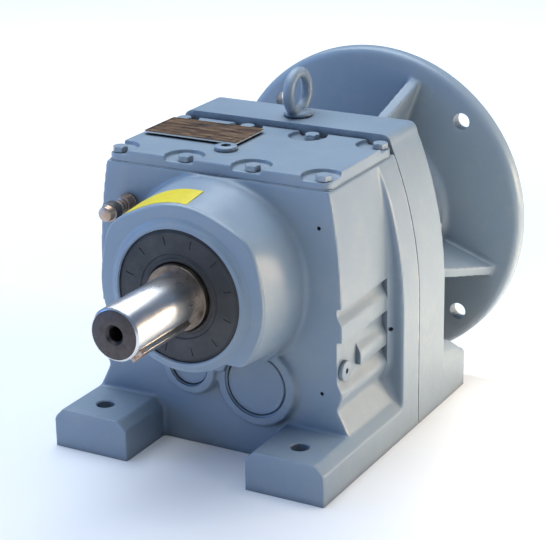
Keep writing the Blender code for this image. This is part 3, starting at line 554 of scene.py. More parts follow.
def label_material():
    """Yellow film, a little faded and scuffed, with fine wrinkles."""
    nodes = Nodes("label_yellow")
    patches = nodes.ramp(nodes.noise(50, 4, 0.6), 0.35, 0.7)
    tint = nodes.mix(patches, (0.86, 0.70, 0.02), (0.78, 0.60, 0.03))
    scuffs = nodes.ramp(nodes.noise(210, 5, 0.7), 0.64, 0.72, 0.0, 0.5)
    tint = nodes.mix(scuffs, tint, (0.45, 0.36, 0.12))
    relief = nodes.bump(nodes.noise(120, 3, 0.5, (1.0, 2.5, 1.0)), 0.0003, 0.3)
    return nodes.surface(tint, nodes.uneven(80, 0.32, 0.5), 0.0, relief)


def gasket_material():
    """Black sealing sheet between the castings."""
    return dark_rubber("gasket", 0.03)


# -------- castings

def side_x(z, width, straight_top, arc_r):
    rise = max(0.0, z - straight_top)
    return width - (arc_r - math.sqrt(arc_r ** 2 - rise ** 2))


def band_x(z):
    return side_x(z, HALF_WIDTH, 128.0, 400.0)


def panel_x(z):
    flare = ((0.0, HALF_WIDTH), (FOOT_TOP - 10, HALF_WIDTH), (FOOT_TOP, FOOT_CHAMFER_X), (62.0, 127.5),
             (65.5, STEP_HALF_WIDTH), (66.2, PANEL_HALF_WIDTH))
    for (z_low, x_low), (z_high, x_high) in zip(flare, flare[1:]):
        if z <= z_high:
            return x_low + (x_high - x_low) * (z - z_low) / (z_high - z_low)
    return side_x(z, PANEL_HALF_WIDTH, 150.0, 660.0)


def cavity_x(z):
    return side_x(z, HALF_WIDTH - 29.5, 128.0, 400.0)


def cavity(low_y, high_y):
    """Hollow of both castings between two planes."""
    levels = (8.0, 128.0, 150.0, 170.0, 190.0, 210.0, 235.0, 260.0)
    return prism("Y", mirrored(levels, cavity_x), low_y, high_y)


def mirrored(levels, half_width):
    right = [(half_width(z), z) for z in levels]
    return right + [(-x, z) for x, z in reversed(right)]


def levels_between(low, high, extra=(), step=12.0):
    count = int((high - low) / step) + 1
    return sorted({low + (high - low) * index / count for index in range(count + 1)} | set(extra))


def boss_r(angle):
    """Radius of the output boss's face at an angle in degrees: round, with two soft upper corners."""
    corner = sum(math.exp(-(math.remainder(angle - at, 360) / BOSS_CORNER_SPREAD) ** 2)
                 for at in BOSS_CORNER_ANGLES)
    return BOSS_R + BOSS_CORNER * corner


def boss_reach(y, angle):
    """Distance of the boss's surface from its axis: less corner and more radius towards the wall."""
    share = min(1.0, max(0.0, (WALL_FRONT - y) / (WALL_FRONT - BOSS_FACE)))
    return BOSS_R + (boss_r(angle) - BOSS_R) * share + BOSS_TAPER * (1 - share)


def boss_body():
    """Boss lofted from a small fillet on the wall to its face, cut away above the two lower rings."""
    angles = range(0, 360, 3)
    sections = []
    for y, extra in ((WALL_FRONT + 6, 3.2), (WALL_FRONT, 2.8), (WALL_FRONT - 1.2, 1.3),
                     (WALL_FRONT - 2.6, 0.4), (WALL_FRONT - 4.5, 0.0), (WALL_FRONT - 40, 0.0),
                     (BOSS_FACE - 3, 0.0)):
        sections.append([at_polar(OUTPUT_AXIS, boss_reach(y, angle) + extra, math.radians(angle), y)
                         for angle in angles])
    boss = add_object("boss", loft(sections))
    under_boss = box((-120, BOSS_FACE - 5, 60), (120, WALL_FRONT - 12, 121))
    boolean(boss, "DIFFERENCE", under_boss, solver="EXACT")
    shape = bmesh.new()
    shape.from_mesh(boss.data)
    bmesh.ops.transform(shape, matrix=Matrix.Scale(1 / MM, 4), verts=shape.verts)
    bpy.data.objects.remove(boss)
    return shape


def boss_trim():
    """Ring that faces the boss off and leaves a small round along its outer edge."""
    edge = 2.4
    inner = 69.0
    arc = [math.radians(18 * step) for step in range(6)]
    sections = []
    for angle in range(0, 360, 3):
        reach = boss_reach(BOSS_FACE, angle)
        section = [(BOSS_FACE - 8, inner), (BOSS_FACE - 8, reach + 9),
                   (BOSS_FACE + edge + 1.5, reach + 9), (BOSS_FACE + edge + 1.5, reach + 0.8)]
        section += [(BOSS_FACE + edge * (1 - math.sin(turn)), reach - edge * (1 - math.cos(turn)))
                    for turn in arc]
        section.append((BOSS_FACE, inner))
        sections.append([at_polar(OUTPUT_AXIS, radius, math.radians(angle), y) for y, radius in section])
    return loft(sections, closed_ring=True)


def boss_rim():
    """Turned rim round the seal's seat, which stands proud of the boss's face."""
    return turned("Y", OUTPUT_AXIS, [
        (BOSS_FACE + 3, 74.6), (BOSS_FACE - 0.1, 74.2), (BOSS_FACE - 0.6, 72.2), (BOSS_FACE - 1.6, 70.6),
        (RIM_FACE + 0.9, 69.2), (RIM_FACE + 0.3, 68.6), (RIM_FACE, 67.8)])


def eased(first, last, steps=8):
    """Points of a soft S from one (x, z) point to another."""
    points = []
    for step in range(steps + 1):
        part = step / steps
        share = part * part * (3 - 2 * part)
        points.append((first[0] + (last[0] - first[0]) * share, first[1] + (last[1] - first[1]) * part))
    return points


def side_steps(side):
    """Sunk strips along one side wall: square above, running out softly below."""
    outside = PANEL_HALF_WIDTH + 3.0
    shapes = []
    for top, bottom in ((166.0, 148.0), (133.0, 81.0)):
        outline = [(outside, top), (STEP_HALF_WIDTH + 0.4, top - 0.6), (STEP_HALF_WIDTH, top - 1.6)]
        outline += eased((STEP_HALF_WIDTH, bottom + 12.5), (PANEL_HALF_WIDTH + 0.3, bottom - 2.5))
        outline.append((outside, bottom - 2.5))
        shapes.append(prism("Y", [(side * x, z) for x, z in outline], WALL_FRONT - 8, BAND_FRONT - 4.0))
    return shapes


def side_rib(side):
    """Raised strip in the lower sunk one, with a blunt front end behind the plug."""
    root = STEP_HALF_WIDTH - 2.0
    bottom, shoulder, top = 97.5, 107.0, 121.0
    outline = [(root, bottom), (PANEL_HALF_WIDTH - 0.4, bottom), (PANEL_HALF_WIDTH, bottom + 0.7)]
    outline += eased((PANEL_HALF_WIDTH, shoulder), (STEP_HALF_WIDTH - 0.3, top))
    outline.append((root, top))
    return prism("Y", [(side * x, z) for x, z in outline], -52.5, BAND_FRONT - 1.0)


def front_foot(side):
    outline = [(FOOT_INNER_X, -6.0), (HALF_WIDTH, -6.0), (HALF_WIDTH, FOOT_TOP - 10),
               (FOOT_CHAMFER_X, FOOT_TOP), (FOOT_INNER_X + 9, FOOT_TOP), (FOOT_INNER_X, FOOT_TOP - 9)]
    return prism("Y", [(side * x, z) for x, z in outline], -FOOT_END, WALL_FRONT + 5)


def foot_holes(y):
    hole = [(-8, 8.75), (FOOT_TOP - 1.2, 8.75), (FOOT_TOP + 1.5, 11.2), (FOOT_TOP + 8, 11.2)]
    return merged(*[turned("Z", (side * FOOT_HOLE_X, y), hole, 48) for side in (1, -1)])


def case_body():
    """Front housing's walls: the narrower panels in front blend into the flat band at the parting."""
    levels = levels_between(-6.0, CASE_TOP + 0.7, (30.0, 40.0, 50.0, 62.0, 128.0, 150.0))
    panel, band = mirrored(levels, panel_x), mirrored(levels, band_x)

    def blend(share):
        return [(a[0] + (b[0] - a[0]) * share, a[1]) for a, b in zip(panel, band)]

    fillet = 6.0
    sections = [(panel, WALL_FRONT), (panel, BAND_FRONT - fillet)]
    for step in range(1, 6):
        turn = math.radians(18 * step)
        sections.append((blend(0.36 * (1 - math.cos(turn))), BAND_FRONT - fillet * (1 - math.sin(turn))))
    sections += [(blend(0.93), BAND_FRONT + 0.2), (blend(0.99), BAND_FRONT + 1.0),
                 (band, BAND_FRONT + 2.4), (band, PARTING + 6)]
    return loft([[(x, y, z) for x, z in outline] for outline, y in sections])


def bore_rings():
    """Low rings on the front wall round the two capped bores."""
    layshaft_ring = [(WALL_FRONT + 5, 45), (WALL_FRONT - 1, 43), (WALL_FRONT - 5.8, 41)]
    spare_ring = [(WALL_FRONT + 5, 33), (WALL_FRONT - 3, 31), (WALL_FRONT - 10.8, 28.5)]
    return turned("Y", LAYSHAFT_AXIS, layshaft_ring), turned("Y", SPARE_AXIS, spare_ring)


def cut_bores(case):
    """Seats for the shafts, the seal and the caps, and the window in the bearing web."""
    seat = [(RIM_FACE - 5, 66.0), (RIM_FACE + 0.4, 64.9), (RIM_FACE + 1.2, 64.1), (SEAL_STOP, 64.1),
            (SEAL_STOP, 60.4), (BEARING_STOP, 60.4), (BEARING_STOP, 48.0), (WALL_INNER + 5, 48.0)]
    cut(case, turned("Y", OUTPUT_AXIS, seat), rod("Y", OUTPUT_AXIS, 50.4, *WEB))
    cap_seat = [(WALL_FRONT - 20, 33.2), (WALL_FRONT - 4.6, 33.2), (WALL_FRONT - 3.4, 31.6),
                (LAYSHAFT_STOP, 31.6), (LAYSHAFT_STOP, 26), (LAYSHAFT_STOP + 12, 26)]
    cut(case, turned("Y", LAYSHAFT_AXIS, cap_seat))
    cut(case, rod("Y", LAYSHAFT_AXIS, 36, *WEB))
    cap_seat = [(WALL_FRONT - 20, 21.5), (WALL_FRONT - 9.6, 21.5), (WALL_FRONT - 8.4, 20.4),
                (WALL_FRONT + 3, 20.4)]
    cut(case, turned("Y", SPARE_AXIS, cap_seat))
    cut(case, prism("Y", rounded_rectangle((-100, 24), (-22, 96), 12), *WEB))


def cut_small_holes(case):
    """Plug seats, breather, small blind holes and bolt holes."""
    cut(case, rod("X", LEVEL_PLUG, 7.4, 110, 136), rod("X", LEVEL_PLUG, 7.4, -136, -110))
    cut(case, rod("Y", (111, 79), BLIND_HOLE_R, WALL_FRONT - 5, WALL_FRONT + 8, 24),
        rod("Y", (109, 241), BLIND_HOLE_R, WALL_FRONT - 5, WALL_FRONT + 8, 24),
        rod("Y", (134.5, 113), BLIND_HOLE_R + 0.2, BAND_FRONT - 14, BAND_FRONT + 12, 24))
    cut(case, rod("Y", BREATHER_AXIS, 6.4, WALL_FRONT - 5, WALL_INNER + 5))
    cut(case, foot_holes(-FOOT_HOLE_Y))
    cut(case, rods("Z", COVER_BOLTS, 4.5, CASE_TOP - 14, CASE_TOP + 5))
    cut(case, rods("Y", CASE_BOLTS, 6.6, PARTING - 25, PARTING + 5))


def build_gear_case(paint):
    case = cast("gear_case_casting",
                merged(case_body(), front_foot(1), front_foot(-1), *bore_rings(), boss_body()))
    cut(case, boss_trim())
    fuse(case, boss_rim())
    cut(case, merged(*side_steps(1)), merged(*side_steps(-1)))
    fuse(case, side_rib(1), side_rib(-1))
    # joint faces and the base are machined flat
    cut(case, beyond("Y", PARTING), beyond("Z", CASE_TOP), beyond("Z", 0.0, -1))
    # hollows before and behind the bearing web, and the opening on top
    cut(case, merged(cavity(WALL_INNER, 0.0), cavity(22.0, PARTING + 5)))
    cut(case, box((-94, -70, 250), (94, -6, CASE_TOP + 5)))
    fuse(case, rod("Y", LAYSHAFT_AXIS, 40, WALL_INNER - 3, LAYSHAFT_STOP + 5))
    cut_bores(case)
    cut_small_holes(case)
    return dress(case, "gear_case", paint)


def rear_foot(side):
    block = [(FOOT_INNER_X, -6), (HALF_WIDTH, -6), (HALF_WIDTH, FOOT_TOP - 3),
             (HALF_WIDTH - 2, FOOT_TOP), (FOOT_INNER_X + 9, FOOT_TOP), (FOOT_INNER_X, FOOT_TOP - 9)]
    return prism("Y", [(side * x, z) for x, z in block], HOUSING_BACK - 5, FOOT_END)


def rear_rib(side):
    """Rib that runs down from the rear wall to the end of the rear foot."""
    sections = []
    for y, top in ((HOUSING_BACK - 5, 66), (114, 63.5), (122, 61), (130, 58.4), (138, 55), (144, 51),
                   (150, 46), (155, 40.5), (158, 36)):
        lean = max(1.0, (top - FOOT_TOP + 4) * 0.45)
        outline = [(126, 20), (HALF_WIDTH, 20), (HALF_WIDTH, FOOT_TOP - 4),
                   (HALF_WIDTH - lean * 0.35, top - lean), (HALF_WIDTH - lean, top), (130, top)]
        sections.append([(side * x, y, z) for x, z in outline])
    return loft(sections)


def rear_outline():
    """Section of the rear housing with its two rounded top corners."""
    corner = 9.0
    right = [(band_x(z), z) for z in levels_between(-6.0, HOUSING_HIGH.z - corner, (128.0,))]
    x, z = right.pop()
    for turn in range(0, 91, 10):
        angle = math.radians(turn)
        right.append((x - corner * (1 - math.cos(angle)), z + corner * math.sin(angle)))
    return right + [(-x, z) for x, z in reversed(right)]


def build_rear_housing(paint):
    walls = prism("Y", rear_outline(), HOUSING_LOW.y - 6, HOUSING_BACK)
    pad = rod("Y", INPUT_AXIS, 92, HOUSING_BACK - 5, HOUSING_BACK - 0.4, 96)
    shape = merged(walls, rear_foot(1), rear_foot(-1), rear_rib(1), rear_rib(-1), pad)
    housing = cast("rear_housing_casting", shape, rounding=8)
    cut(housing, beyond("Y", HOUSING_LOW.y, -1), beyond("Z", 0.0, -1))
    cut(housing, cavity(HOUSING_LOW.y - 5, REAR_CAVITY))
    seat = [(REAR_BOSS, 33.0), (INPUT_STOP, 33.0), (INPUT_STOP, 40.4), (HOUSING_BACK + 5, 40.4)]
    cut(housing, turned("Y", INPUT_AXIS, seat), rod("Y", LAYSHAFT_AXIS, 31.5, REAR_BOSS, 98.0))
    cut(housing, foot_holes(FOOT_HOLE_Y))
    cut(housing, rods("Y", CASE_BOLTS, 6.6, HOUSING_LOW.y - 5, HOUSING_BACK + 5))
    cut(housing, rods("Y", HUB_BOLTS, 5.4, 88, HOUSING_BACK + 5))
    cut(housing, rod("Z", EYE_AXIS, 6.4, HOUSING_HIGH.z - 24, HOUSING_HIGH.z + 5))
    return dress(housing, "rear_housing", paint)


def flange_gusset(turn, front):
    """Rib from the bell out to the flange, at an angle in degrees round the input axis."""
    angle = math.radians(turn)
    out = Vector((math.cos(angle), 0, math.sin(angle)))
    across = Vector((-math.sin(angle), 0, math.cos(angle)))
    centre = Vector((INPUT_AXIS[0], 0, INPUT_AXIS[1]))
    corners = ((70, HUB_FRONT + 4), (88, HUB_FRONT + 4), (154, front - 4), (154, front + 3),
               (70, front + 3))
    return loft([[tuple(centre + out * r + across * shift + Vector((0, y, 0))) for r, y in corners]
                 for shift in (-5.5, 5.5)])


def build_input_flange(paint):
    """Motor adapter, drawn as one casting for the bell and its flange."""
    back, radius = FLANGE_HIGH.y, FLANGE_HIGH.x
    front = back - 14.0
    register = back - 5.5
    steps = [(HUB_FRONT - 6, 88.0), (front - 8, 88.0), (front - 3, 89.5), (front, 94.0),
             (front, radius - 6), (front + 1.8, radius - 1.8), (front + 6, radius), (back - 1.2, radius),
             (back + 5, radius)]
    gussets = [flange_gusset(turn, front) for turn in (70, 160, 250, 340)]
    bell = turned("Y", INPUT_AXIS, steps, 160)
    flange = cast("input_flange_casting", merged(bell, *gussets), rounding=4)
    cut(flange, beyond("Y", back), beyond("Y", HUB_FRONT, -1))
    bore = [(HUB_FRONT - 5, 36.0), (OIL_SEAL_STOP, 36.0), (OIL_SEAL_STOP, 45.5), (ADAPTER_STOP, 45.5),
            (ADAPTER_STOP, 74.0), (register, 74.0), (register, 125.0), (back - 0.8, 125.0),
            (back + 0.4, 126.2), (back + 5, 126.2)]
    cut(flange, turned("Y", INPUT_AXIS, bore, 128))
    hole = [(front - 5, 9.5), (front - 0.2, 9.5), (front + 0.3, 9.0), (back + 5, 9.0)]
    bolt_circle = circle(INPUT_AXIS, 150.0, 4, math.pi / 4)
    cut(flange, merged(*[turned("Y", centre, hole, 48) for centre in bolt_circle]))
    cut(flange, rods("Y", HUB_BOLTS, 5.4, HUB_FRONT - 5, ADAPTER_STOP + 5))
    dress(flange, "input_flange", paint)
    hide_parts("adapter_housing")


def build_cover(paint):
    """Lid: each bolt sits in a round sunk pocket that runs out through the lid's edge."""
    low, high = COVER_LOW, COVER_HIGH
    inset = 1.2
    floor = high.z - POCKET_DEPTH
    outline = rounded_rectangle((low.x + inset, low.y + inset), (high.x - inset, high.y - 0.4), 9.0)
    pockets = []
    for x, y in COVER_BOLTS:
        back = 3.0 if y < 0 else -3.0
        seat = [(floor, POCKET_R - 1.0), (floor + 1.1, POCKET_R), (high.z + 5, POCKET_R + 1.5)]
        pockets.append(turned("Z", (x - 3.0, y + back), seat, 64))
    cover = cast("inspection_cover_casting", prism("Z", outline, low.z - 4, high.z), pockets, voxel=1.0,
                 rounding=4)
    cut(cover, beyond("Z", low.z, -1))
    cut(cover, rods("Z", COVER_BOLTS, 4.5, low.z - 5, high.z + 2))
    plug_hole = [(low.z - 5, 8.4), (high.z - 0.5, 8.4), (high.z + 1, 10.0), (high.z + 3, 10.0)]
    cut(cover, turned("Z", COVER_PLUG, plug_hole, 48))
    return dress(cover, "inspection_cover", paint)


def build_eye_bolt(paint):
    low, high = span("eye_bolt")
    x, y = EYE_AXIS
    seat = HOUSING_HIGH.z + GAP
    wire, ring_r = 5.5, 19.5
    hub_z = high.z - wire - ring_r
    sections = []
    for index in range(72):
        angle = 2 * math.pi * index / 72
        sections.append([(x + wire * 1.04 * math.sin(turn),
                          y + (ring_r + wire * math.cos(turn)) * math.cos(angle),
                          hub_z + (ring_r + wire * math.cos(turn)) * math.sin(angle))
                         for turn in [2 * math.pi * side / 20 for side in range(20)]])
    torus = loft(sections, closed_ring=True)
    stem = [(low.z, 6.0), (seat, 6.0), (seat, 13.6), (seat + 0.9, 14.5), (seat + 3.0, 14.4),
            (seat + 4.6, 13.0), (seat + 5.6, 9.6), (seat + 8, 8.2), (hub_z - ring_r + 1, 7.0)]
    eye = cast("eye_bolt_forging", merged(turned("Z", EYE_AXIS, stem, 48), torus), voxel=0.8, rounding=4)
    return dress(eye, "eye_bolt", paint)


# -------- fasteners, plugs, plates

def hexagon(node, name, material, axis, centre, seat, head, shank):
    """Hexagon bolt with chamfered corners and a washer face; head and shank are (radius, length)."""
    radius, height = head
    shank_r, length = shank
    top = seat + height
    bolt = add_object(name, prism(axis, circle(centre, radius, 6, 0.2), seat + 0.35, top))
    dome = [(seat - 1, radius * 0.93), (seat + 0.9, radius + 0.4), (top - radius * 0.12, radius + 0.2),
            (top, radius * 0.87)]
    boolean(bolt, "INTERSECT", turned(axis, centre, dome, 48))
    fuse(bolt, turned(axis, centre, [(seat, radius * 0.80), (seat + 0.6, radius * 0.84)], 48))
    fuse(bolt, rod(axis, centre, shank_r, seat - length, seat + height / 2, 24))
    return dress(bolt, node, material, math.radians(28))


def build_fasteners(paint, steel):
    cover_seat = COVER_HIGH.z - POCKET_DEPTH + GAP
    for stem, axis, centres, seat, head, shank in (
            ("cover", "Z", COVER_BOLTS, cover_seat, (7.5, 5.5), (4.0, 20.0)),
            ("case", "Y", CASE_BOLTS, HOUSING_BACK + GAP, (10.4, 7.5), (6.0, 80.0))):
        for index, centre in enumerate(centres, 1):
            hexagon(f"{stem}_bolt_{index}", f"{stem}_hex_bolt_{index}", paint, axis, centre, seat, head,
                    shank)
    for index, centre in enumerate(HUB_BOLTS, 1):
        node = f"adapter_bolt_{index}"
        low, high = span(node)
        head = [(high.y - 10, 7.8), (high.y - 9.6, 8.0), (high.y - 0.9, 8.0), (high.y, 7.1)]
        screw = add_object(f"adapter_socket_screw_{index}", turned("Y", centre, head, 48))
        fuse(screw, rod("Y", centre, 5.0, low.y, high.y - 5, 32))
        cut(screw, prism("Y", circle(centre, 4.5, 6), high.y - 5, high.y + 5))
        dress(screw, node, steel)


def build_side_plug(node, side, paint):
    """Raised socket plug in the lower sunk strip of one side wall."""
    foot = STEP_HALF_WIDTH + GAP
    top = PANEL_HALF_WIDTH - 0.9
    steps = [(foot - 14, 7.0), (foot, 7.0), (foot, 9.6), (top - 1.0, 9.6), (top - 0.3, 9.3), (top, 8.6)]
    body = [(side * along, radius) for along, radius in steps]
    plug = add_object(f"{node}_turned", turned("X", LEVEL_PLUG, body[::side], 48))
    cut(plug, prism("X", circle(LEVEL_PLUG, 2.9, 6), *sorted((side * (foot + 0.5), side * 140))))
    dress(plug, node, paint)


def build_plugs(paint):
    low, high = span("cover_plug")
    seat = COVER_HIGH.z + GAP
    body = [(low.z, 8.0), (seat, 8.0), (seat, 10.6), (seat + 0.5, 11.0), (high.z - 1.4, 11.0),
            (high.z - 0.5, 10.4), (high.z, 9.0)]
    vent = add_object("cover_plug_turned", turned("Z", COVER_PLUG, body, 64))
    cut(vent, prism("Z", circle(COVER_PLUG, 5.2, 6), COVER_HIGH.z - 2, COVER_HIGH.z + 10))
    dress(vent, "cover_plug", paint)
    build_side_plug("oil_level_plug", 1, paint)
    build_side_plug("oil_drain_plug", -1, paint)
    front = WALL_FRONT
    layshaft_cap = [(front + 1, 31.0), (front - 2.6, 31.0), (front - 3.6, 30.2), (front - 4.0, 29.4),
                    (front - 3.4, 28.0), (front - 3.2, 26.0)]
    spare_cap = [(front + 2.7, 20.0), (front - 6.0, 20.0), (front - 7.0, 19.2), (front - 6.6, 18.0),
                 (front - 6.2, 16.0)]
    for node, axis, steps, count in (("layshaft_bore_cap", LAYSHAFT_AXIS, layshaft_cap, 96),
                                     ("spare_bore_cap", SPARE_AXIS, spare_cap, 72)):
        dress(add_object(f"{node}_pressed", turned("Y", axis, steps, count)), node, paint)


def build_breather(brass, dark):
    """Breather: a hexagon, a grooved neck and a cap with a dark ring."""
    low, high = span("breather_body")
    front = WALL_FRONT - GAP
    core = [(high.y, 6.0), (front, 6.0), (front, 9.2), (front - 0.6, 9.5), (front - 1.4, 9.5),
            (front - 2.0, 8.8), (front - 22, 7.0)]
    body = add_object("breather_body_turned", turned("Y", BREATHER_AXIS, core, 48))
    fuse(body, prism("Y", circle(BREATHER_AXIS, 9.5, 6), front - 9, front - 1.2))
    neck = [(high.y + 1, 12), (front - 9.2, 12), (front - 12, 7.2), (front - 12.4, 6.2),
            (front - 13.6, 6.2), (front - 14, 7.2), (front - 17, 7.2), (front - 17.4, 6.2),
            (front - 18.6, 6.2), (front - 19, 7.2), (front - 22, 7.0), (front - 22, 5.0), (low.y, 5.0)]
    boolean(body, "INTERSECT", turned("Y", BREATHER_AXIS, neck, 48))
    fuse(body, rod("Y", BREATHER_AXIS, 5.0, low.y, front - 20, 32))
    dress(body, "breather_body", brass)
    low, high = span("breather_cap")
    steps = [(high.y, 8.6), (high.y - 0.8, 9.2), (high.y - 2, 9.6), (low.y + 8.6, 9.6),
             (low.y + 7.4, 9.0), (low.y + 6.6, 7.5), (low.y + 6.0, 7.2), (low.y + 1.2, 7.2),
             (low.y + 0.4, 6.9), (low.y, 6.2)]
    cap = add_object("breather_cap_turned", turned("Y", BREATHER_AXIS, steps, 64))
    cut(cap, rod("Y", BREATHER_AXIS, 5.5, high.y - 5.5, high.y + 5, 32))
    dress(cap, "breather_cap", brass)
    cap.data.materials.append(dark)
    for face in cap.data.polygons:
        if (low.y + 7.0) * MM < face.center.y < (high.y - 0.5) * MM:
            face.material_index = 1


def build_nameplate(plate_paint, bare):
    """Blank rating plate on four feet: pale cut edge, raised border, empty fields and four rivets."""
    low, high = span("nameplate")
    sheet = rounded_rectangle((low.x, low.y), (high.x, high.y), 3.0)
    base = add_object("nameplate_sheet", prism("Z", sheet, high.z - 2.0, high.z - 0.55))
    feet = [(x, y) for x in (low.x + 6, high.x - 6) for y in (low.y + 6, high.y - 6)]
    fuse(base, rods("Z", feet, 3.5, low.z, high.z - 1.5, 24))
    dress(base, "nameplate", plate_paint)
    base.data.materials.append(bare)
    for face in base.data.polygons:
        if abs(face.normal.z) < 0.5 and face.center.z > (high.z - 2.0) * MM:
            face.material_index = 1
    top = high.z
    root = top - 0.5
    outer = rounded_rectangle((low.x + 0.6, low.y + 0.6), (high.x - 0.6, high.y - 0.6), 2.6)
    inner = rounded_rectangle((low.x + 2.4, low.y + 2.4), (high.x - 2.4, high.y - 2.4), 1.6)
    border = ((outer, root), (outer, top - 0.12), (inner, top - 0.12), (inner, root))
    parts = [loft([[(x, y, z) for x, y in outline] for outline, z in border], closed_ring=True)]
    width = high.x - low.x
    depth = high.y - low.y
    for row in range(5):
        y = low.y + depth * (0.16 + 0.15 * row)
        for start, end in ((0.07, 0.40), (0.45, 0.68), (0.73, 0.93)):
            if (row, start) in ((4, 0.45), (2, 0.73)):
                continue
            left, right = low.x + width * start, low.x + width * end
            parts.append(box((left, y, root), (right, y + 0.7, top - 0.25)))
    for x in (low.x + 5.5, high.x - 5.5):
        for y in (low.y + 5.5, high.y - 5.5):
            parts.append(turned("Z", (x, y), [(root, 1.9), (top - 0.3, 1.9), (top, 1.1)], 24))
    marks = add_object("nameplate_marks", merged(*parts))
    marks.data.shade_smooth()
    marks.data.set_sharp_from_angle(angle=SHARP)
    marks.data.materials.append(plate_paint)
    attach(marks, BODY_OF["nameplate"])


def build_boss_label(yellow):
    """Blank yellow film wrapped over the boss, following its taper."""
    low, high = span("boss_label")
    first, last, steps = 85.0, 131.0, 48
    ys = [low.y + (high.y - low.y) * share / 8 for share in range(9)]
    rows = []
    for step in range(steps + 1):
        angle = first + (last - first) * step / steps
        rows.append([at_polar(OUTPUT_AXIS, boss_reach(y, angle) + lift, math.radians(angle), y)
                     for lift, order in ((0.25, ys), (0.6, ys[::-1])) for y in order])
    return dress(add_object("boss_label_film", loft(rows)), "boss_label", yellow)


# -------- shafts and seals

def build_output_shaft(steel, end_steel, collar):
    """Stepped shaft with its centre hole and keyways; the collar in front of the boss is brown."""
    low, high = span("output_shaft")
    end = low.y
    shoulder = RIM_FACE - 4.0
    steps = [(end, 22.6), (end + 0.15, 22.9), (end + 1.9, 24.8), (end + 2.3, 25.0),
             (shoulder - 0.8, 25.0), (shoulder, 25.0), (shoulder, 31.3), (shoulder + 0.7, 32.0),
             (BEARING_STOP, 32.0), (BEARING_STOP, 34.0), (GEAR_SHOULDER[0], 34.0),
             (GEAR_SHOULDER[0], 40.0), (GEAR_SHOULDER[1], 40.0), (GEAR_SHOULDER[1], 32.0),
             (REAR_JOURNAL, 32.0), (REAR_JOURNAL, 27.2), (high.y, 27.2)]
    shaft = add_object("output_shaft_turned", turned("Y", OUTPUT_AXIS, steps, 120))
    hole = [(end - 2, 10.4), (end - 0.1, 9.6), (end + 3, 7.0), (end + 34, 7.0), (end + 38, 2.0)]
    cut(shaft, turned("Y", OUTPUT_AXIS, hole, 48))
    key_low, key_high = span("output_key")
    cut(shaft, radial_bar(OUTPUT_AXIS, KEY_ANGLE, 19.5, 30, 14.4, key_low.y - 0.3, key_high.y + 0.3))
    gear_keyway = [(-9.3, 205.7), (9.3, 205.7), (9.3, 225), (-9.3, 225)]
    cut(shaft, prism("Y", gear_keyway, -58, -10))
    dress(shaft, "output_shaft", steel)
    shaft.data.materials.append(end_steel)
    shaft.data.materials.append(collar)
    for face in shaft.data.polygons:
        x, y, z = face.center / MM
        in_hole = y < end + 40 and math.hypot(x - OUTPUT_AXIS[0], z - OUTPUT_AXIS[1]) < 10.5
        if y < end + 0.1 or in_hole:
            face.material_index = 1
        elif y > shoulder - 0.2:
            face.material_index = 2


def build_output_key(key):
    low, high = span("output_key")
    shape = radial_bar(OUTPUT_AXIS, KEY_ANGLE, 19.8, 28.5, 14.0, low.y, high.y)
    bar = add_object("output_key_drawn", shape)
    bevel = bar.modifiers.new("bevel", "BEVEL")
    bevel.width = 0.5 * MM
    bevel.segments = 3
    bake_modifiers(bar)
    return dress(bar, "output_key", key)


def build_seal_cover(rubber):
    """Seal disc in the boss, with twelve radial grooves."""
    low, high = span("output_seal_cover")
    front = low.y
    section = [(front + 0.9, 33.2), (front + 0.25, 34.0), (front + 0.1, 36.0), (front + 1.4, 37.2),
               (front + 1.5, 40.0), (front + 0.5, 41.2), (front + 0.4, 60.8), (front + 1.3, 62.2),
               (front + 1.5, 63.3), (front + 3, 63.7), (high.y, 63.7), (high.y, 33.2)]
    seal = add_object("output_seal_disc", ring("Y", OUTPUT_AXIS, section, 128))
    cut(seal, merged(*[radial_bar(OUTPUT_AXIS, 30 * index + 14, 49.5, 57.5, 1.1, front - 3, front + 1.2)
                       for index in range(12)]))
    return dress(seal, "output_seal_cover", rubber)


def build_coupling_hub(steel):
    """Hub for the motor's shaft, with its bore and keyway."""
    low, high = span("coupling_hub")
    body = [(low.y, 40.5), (low.y + 1.5, 42), (high.y - 1.5, 42), (high.y, 40.5)]
    hub = add_object("coupling_hub_turned", turned("Y", INPUT_AXIS, body, 96))
    bore = [(140, 18.3), (190, 18.3), (190, 21.0), (high.y - 1, 21.0), (high.y + 0.4, 22.4), (240, 22.4)]
    cut(hub, turned("Y", INPUT_AXIS, bore, 96))
    cut(hub, box((-6.2, 190, INPUT_AXIS[1] + 15), (6.2, 240, INPUT_AXIS[1] + 24.3)))
    return dress(hub, "coupling_hub", steel)


def finish_inner_nodes(paint, gear, rubber, gasket):
    """CAD nodes whose shape is right keep it and get a finished material."""
    chosen = {"gear_steel": gear, "seal_black": rubber, "gasket": gasket, "bright_steel": gear}
    for node, item in NODES.items():
        if item.hide_render:
            continue
        item.data.materials.clear()
        item.data.materials.append(paint if node == "cover_gasket" else chosen[SLOT_OF[node]])


# -------- stage

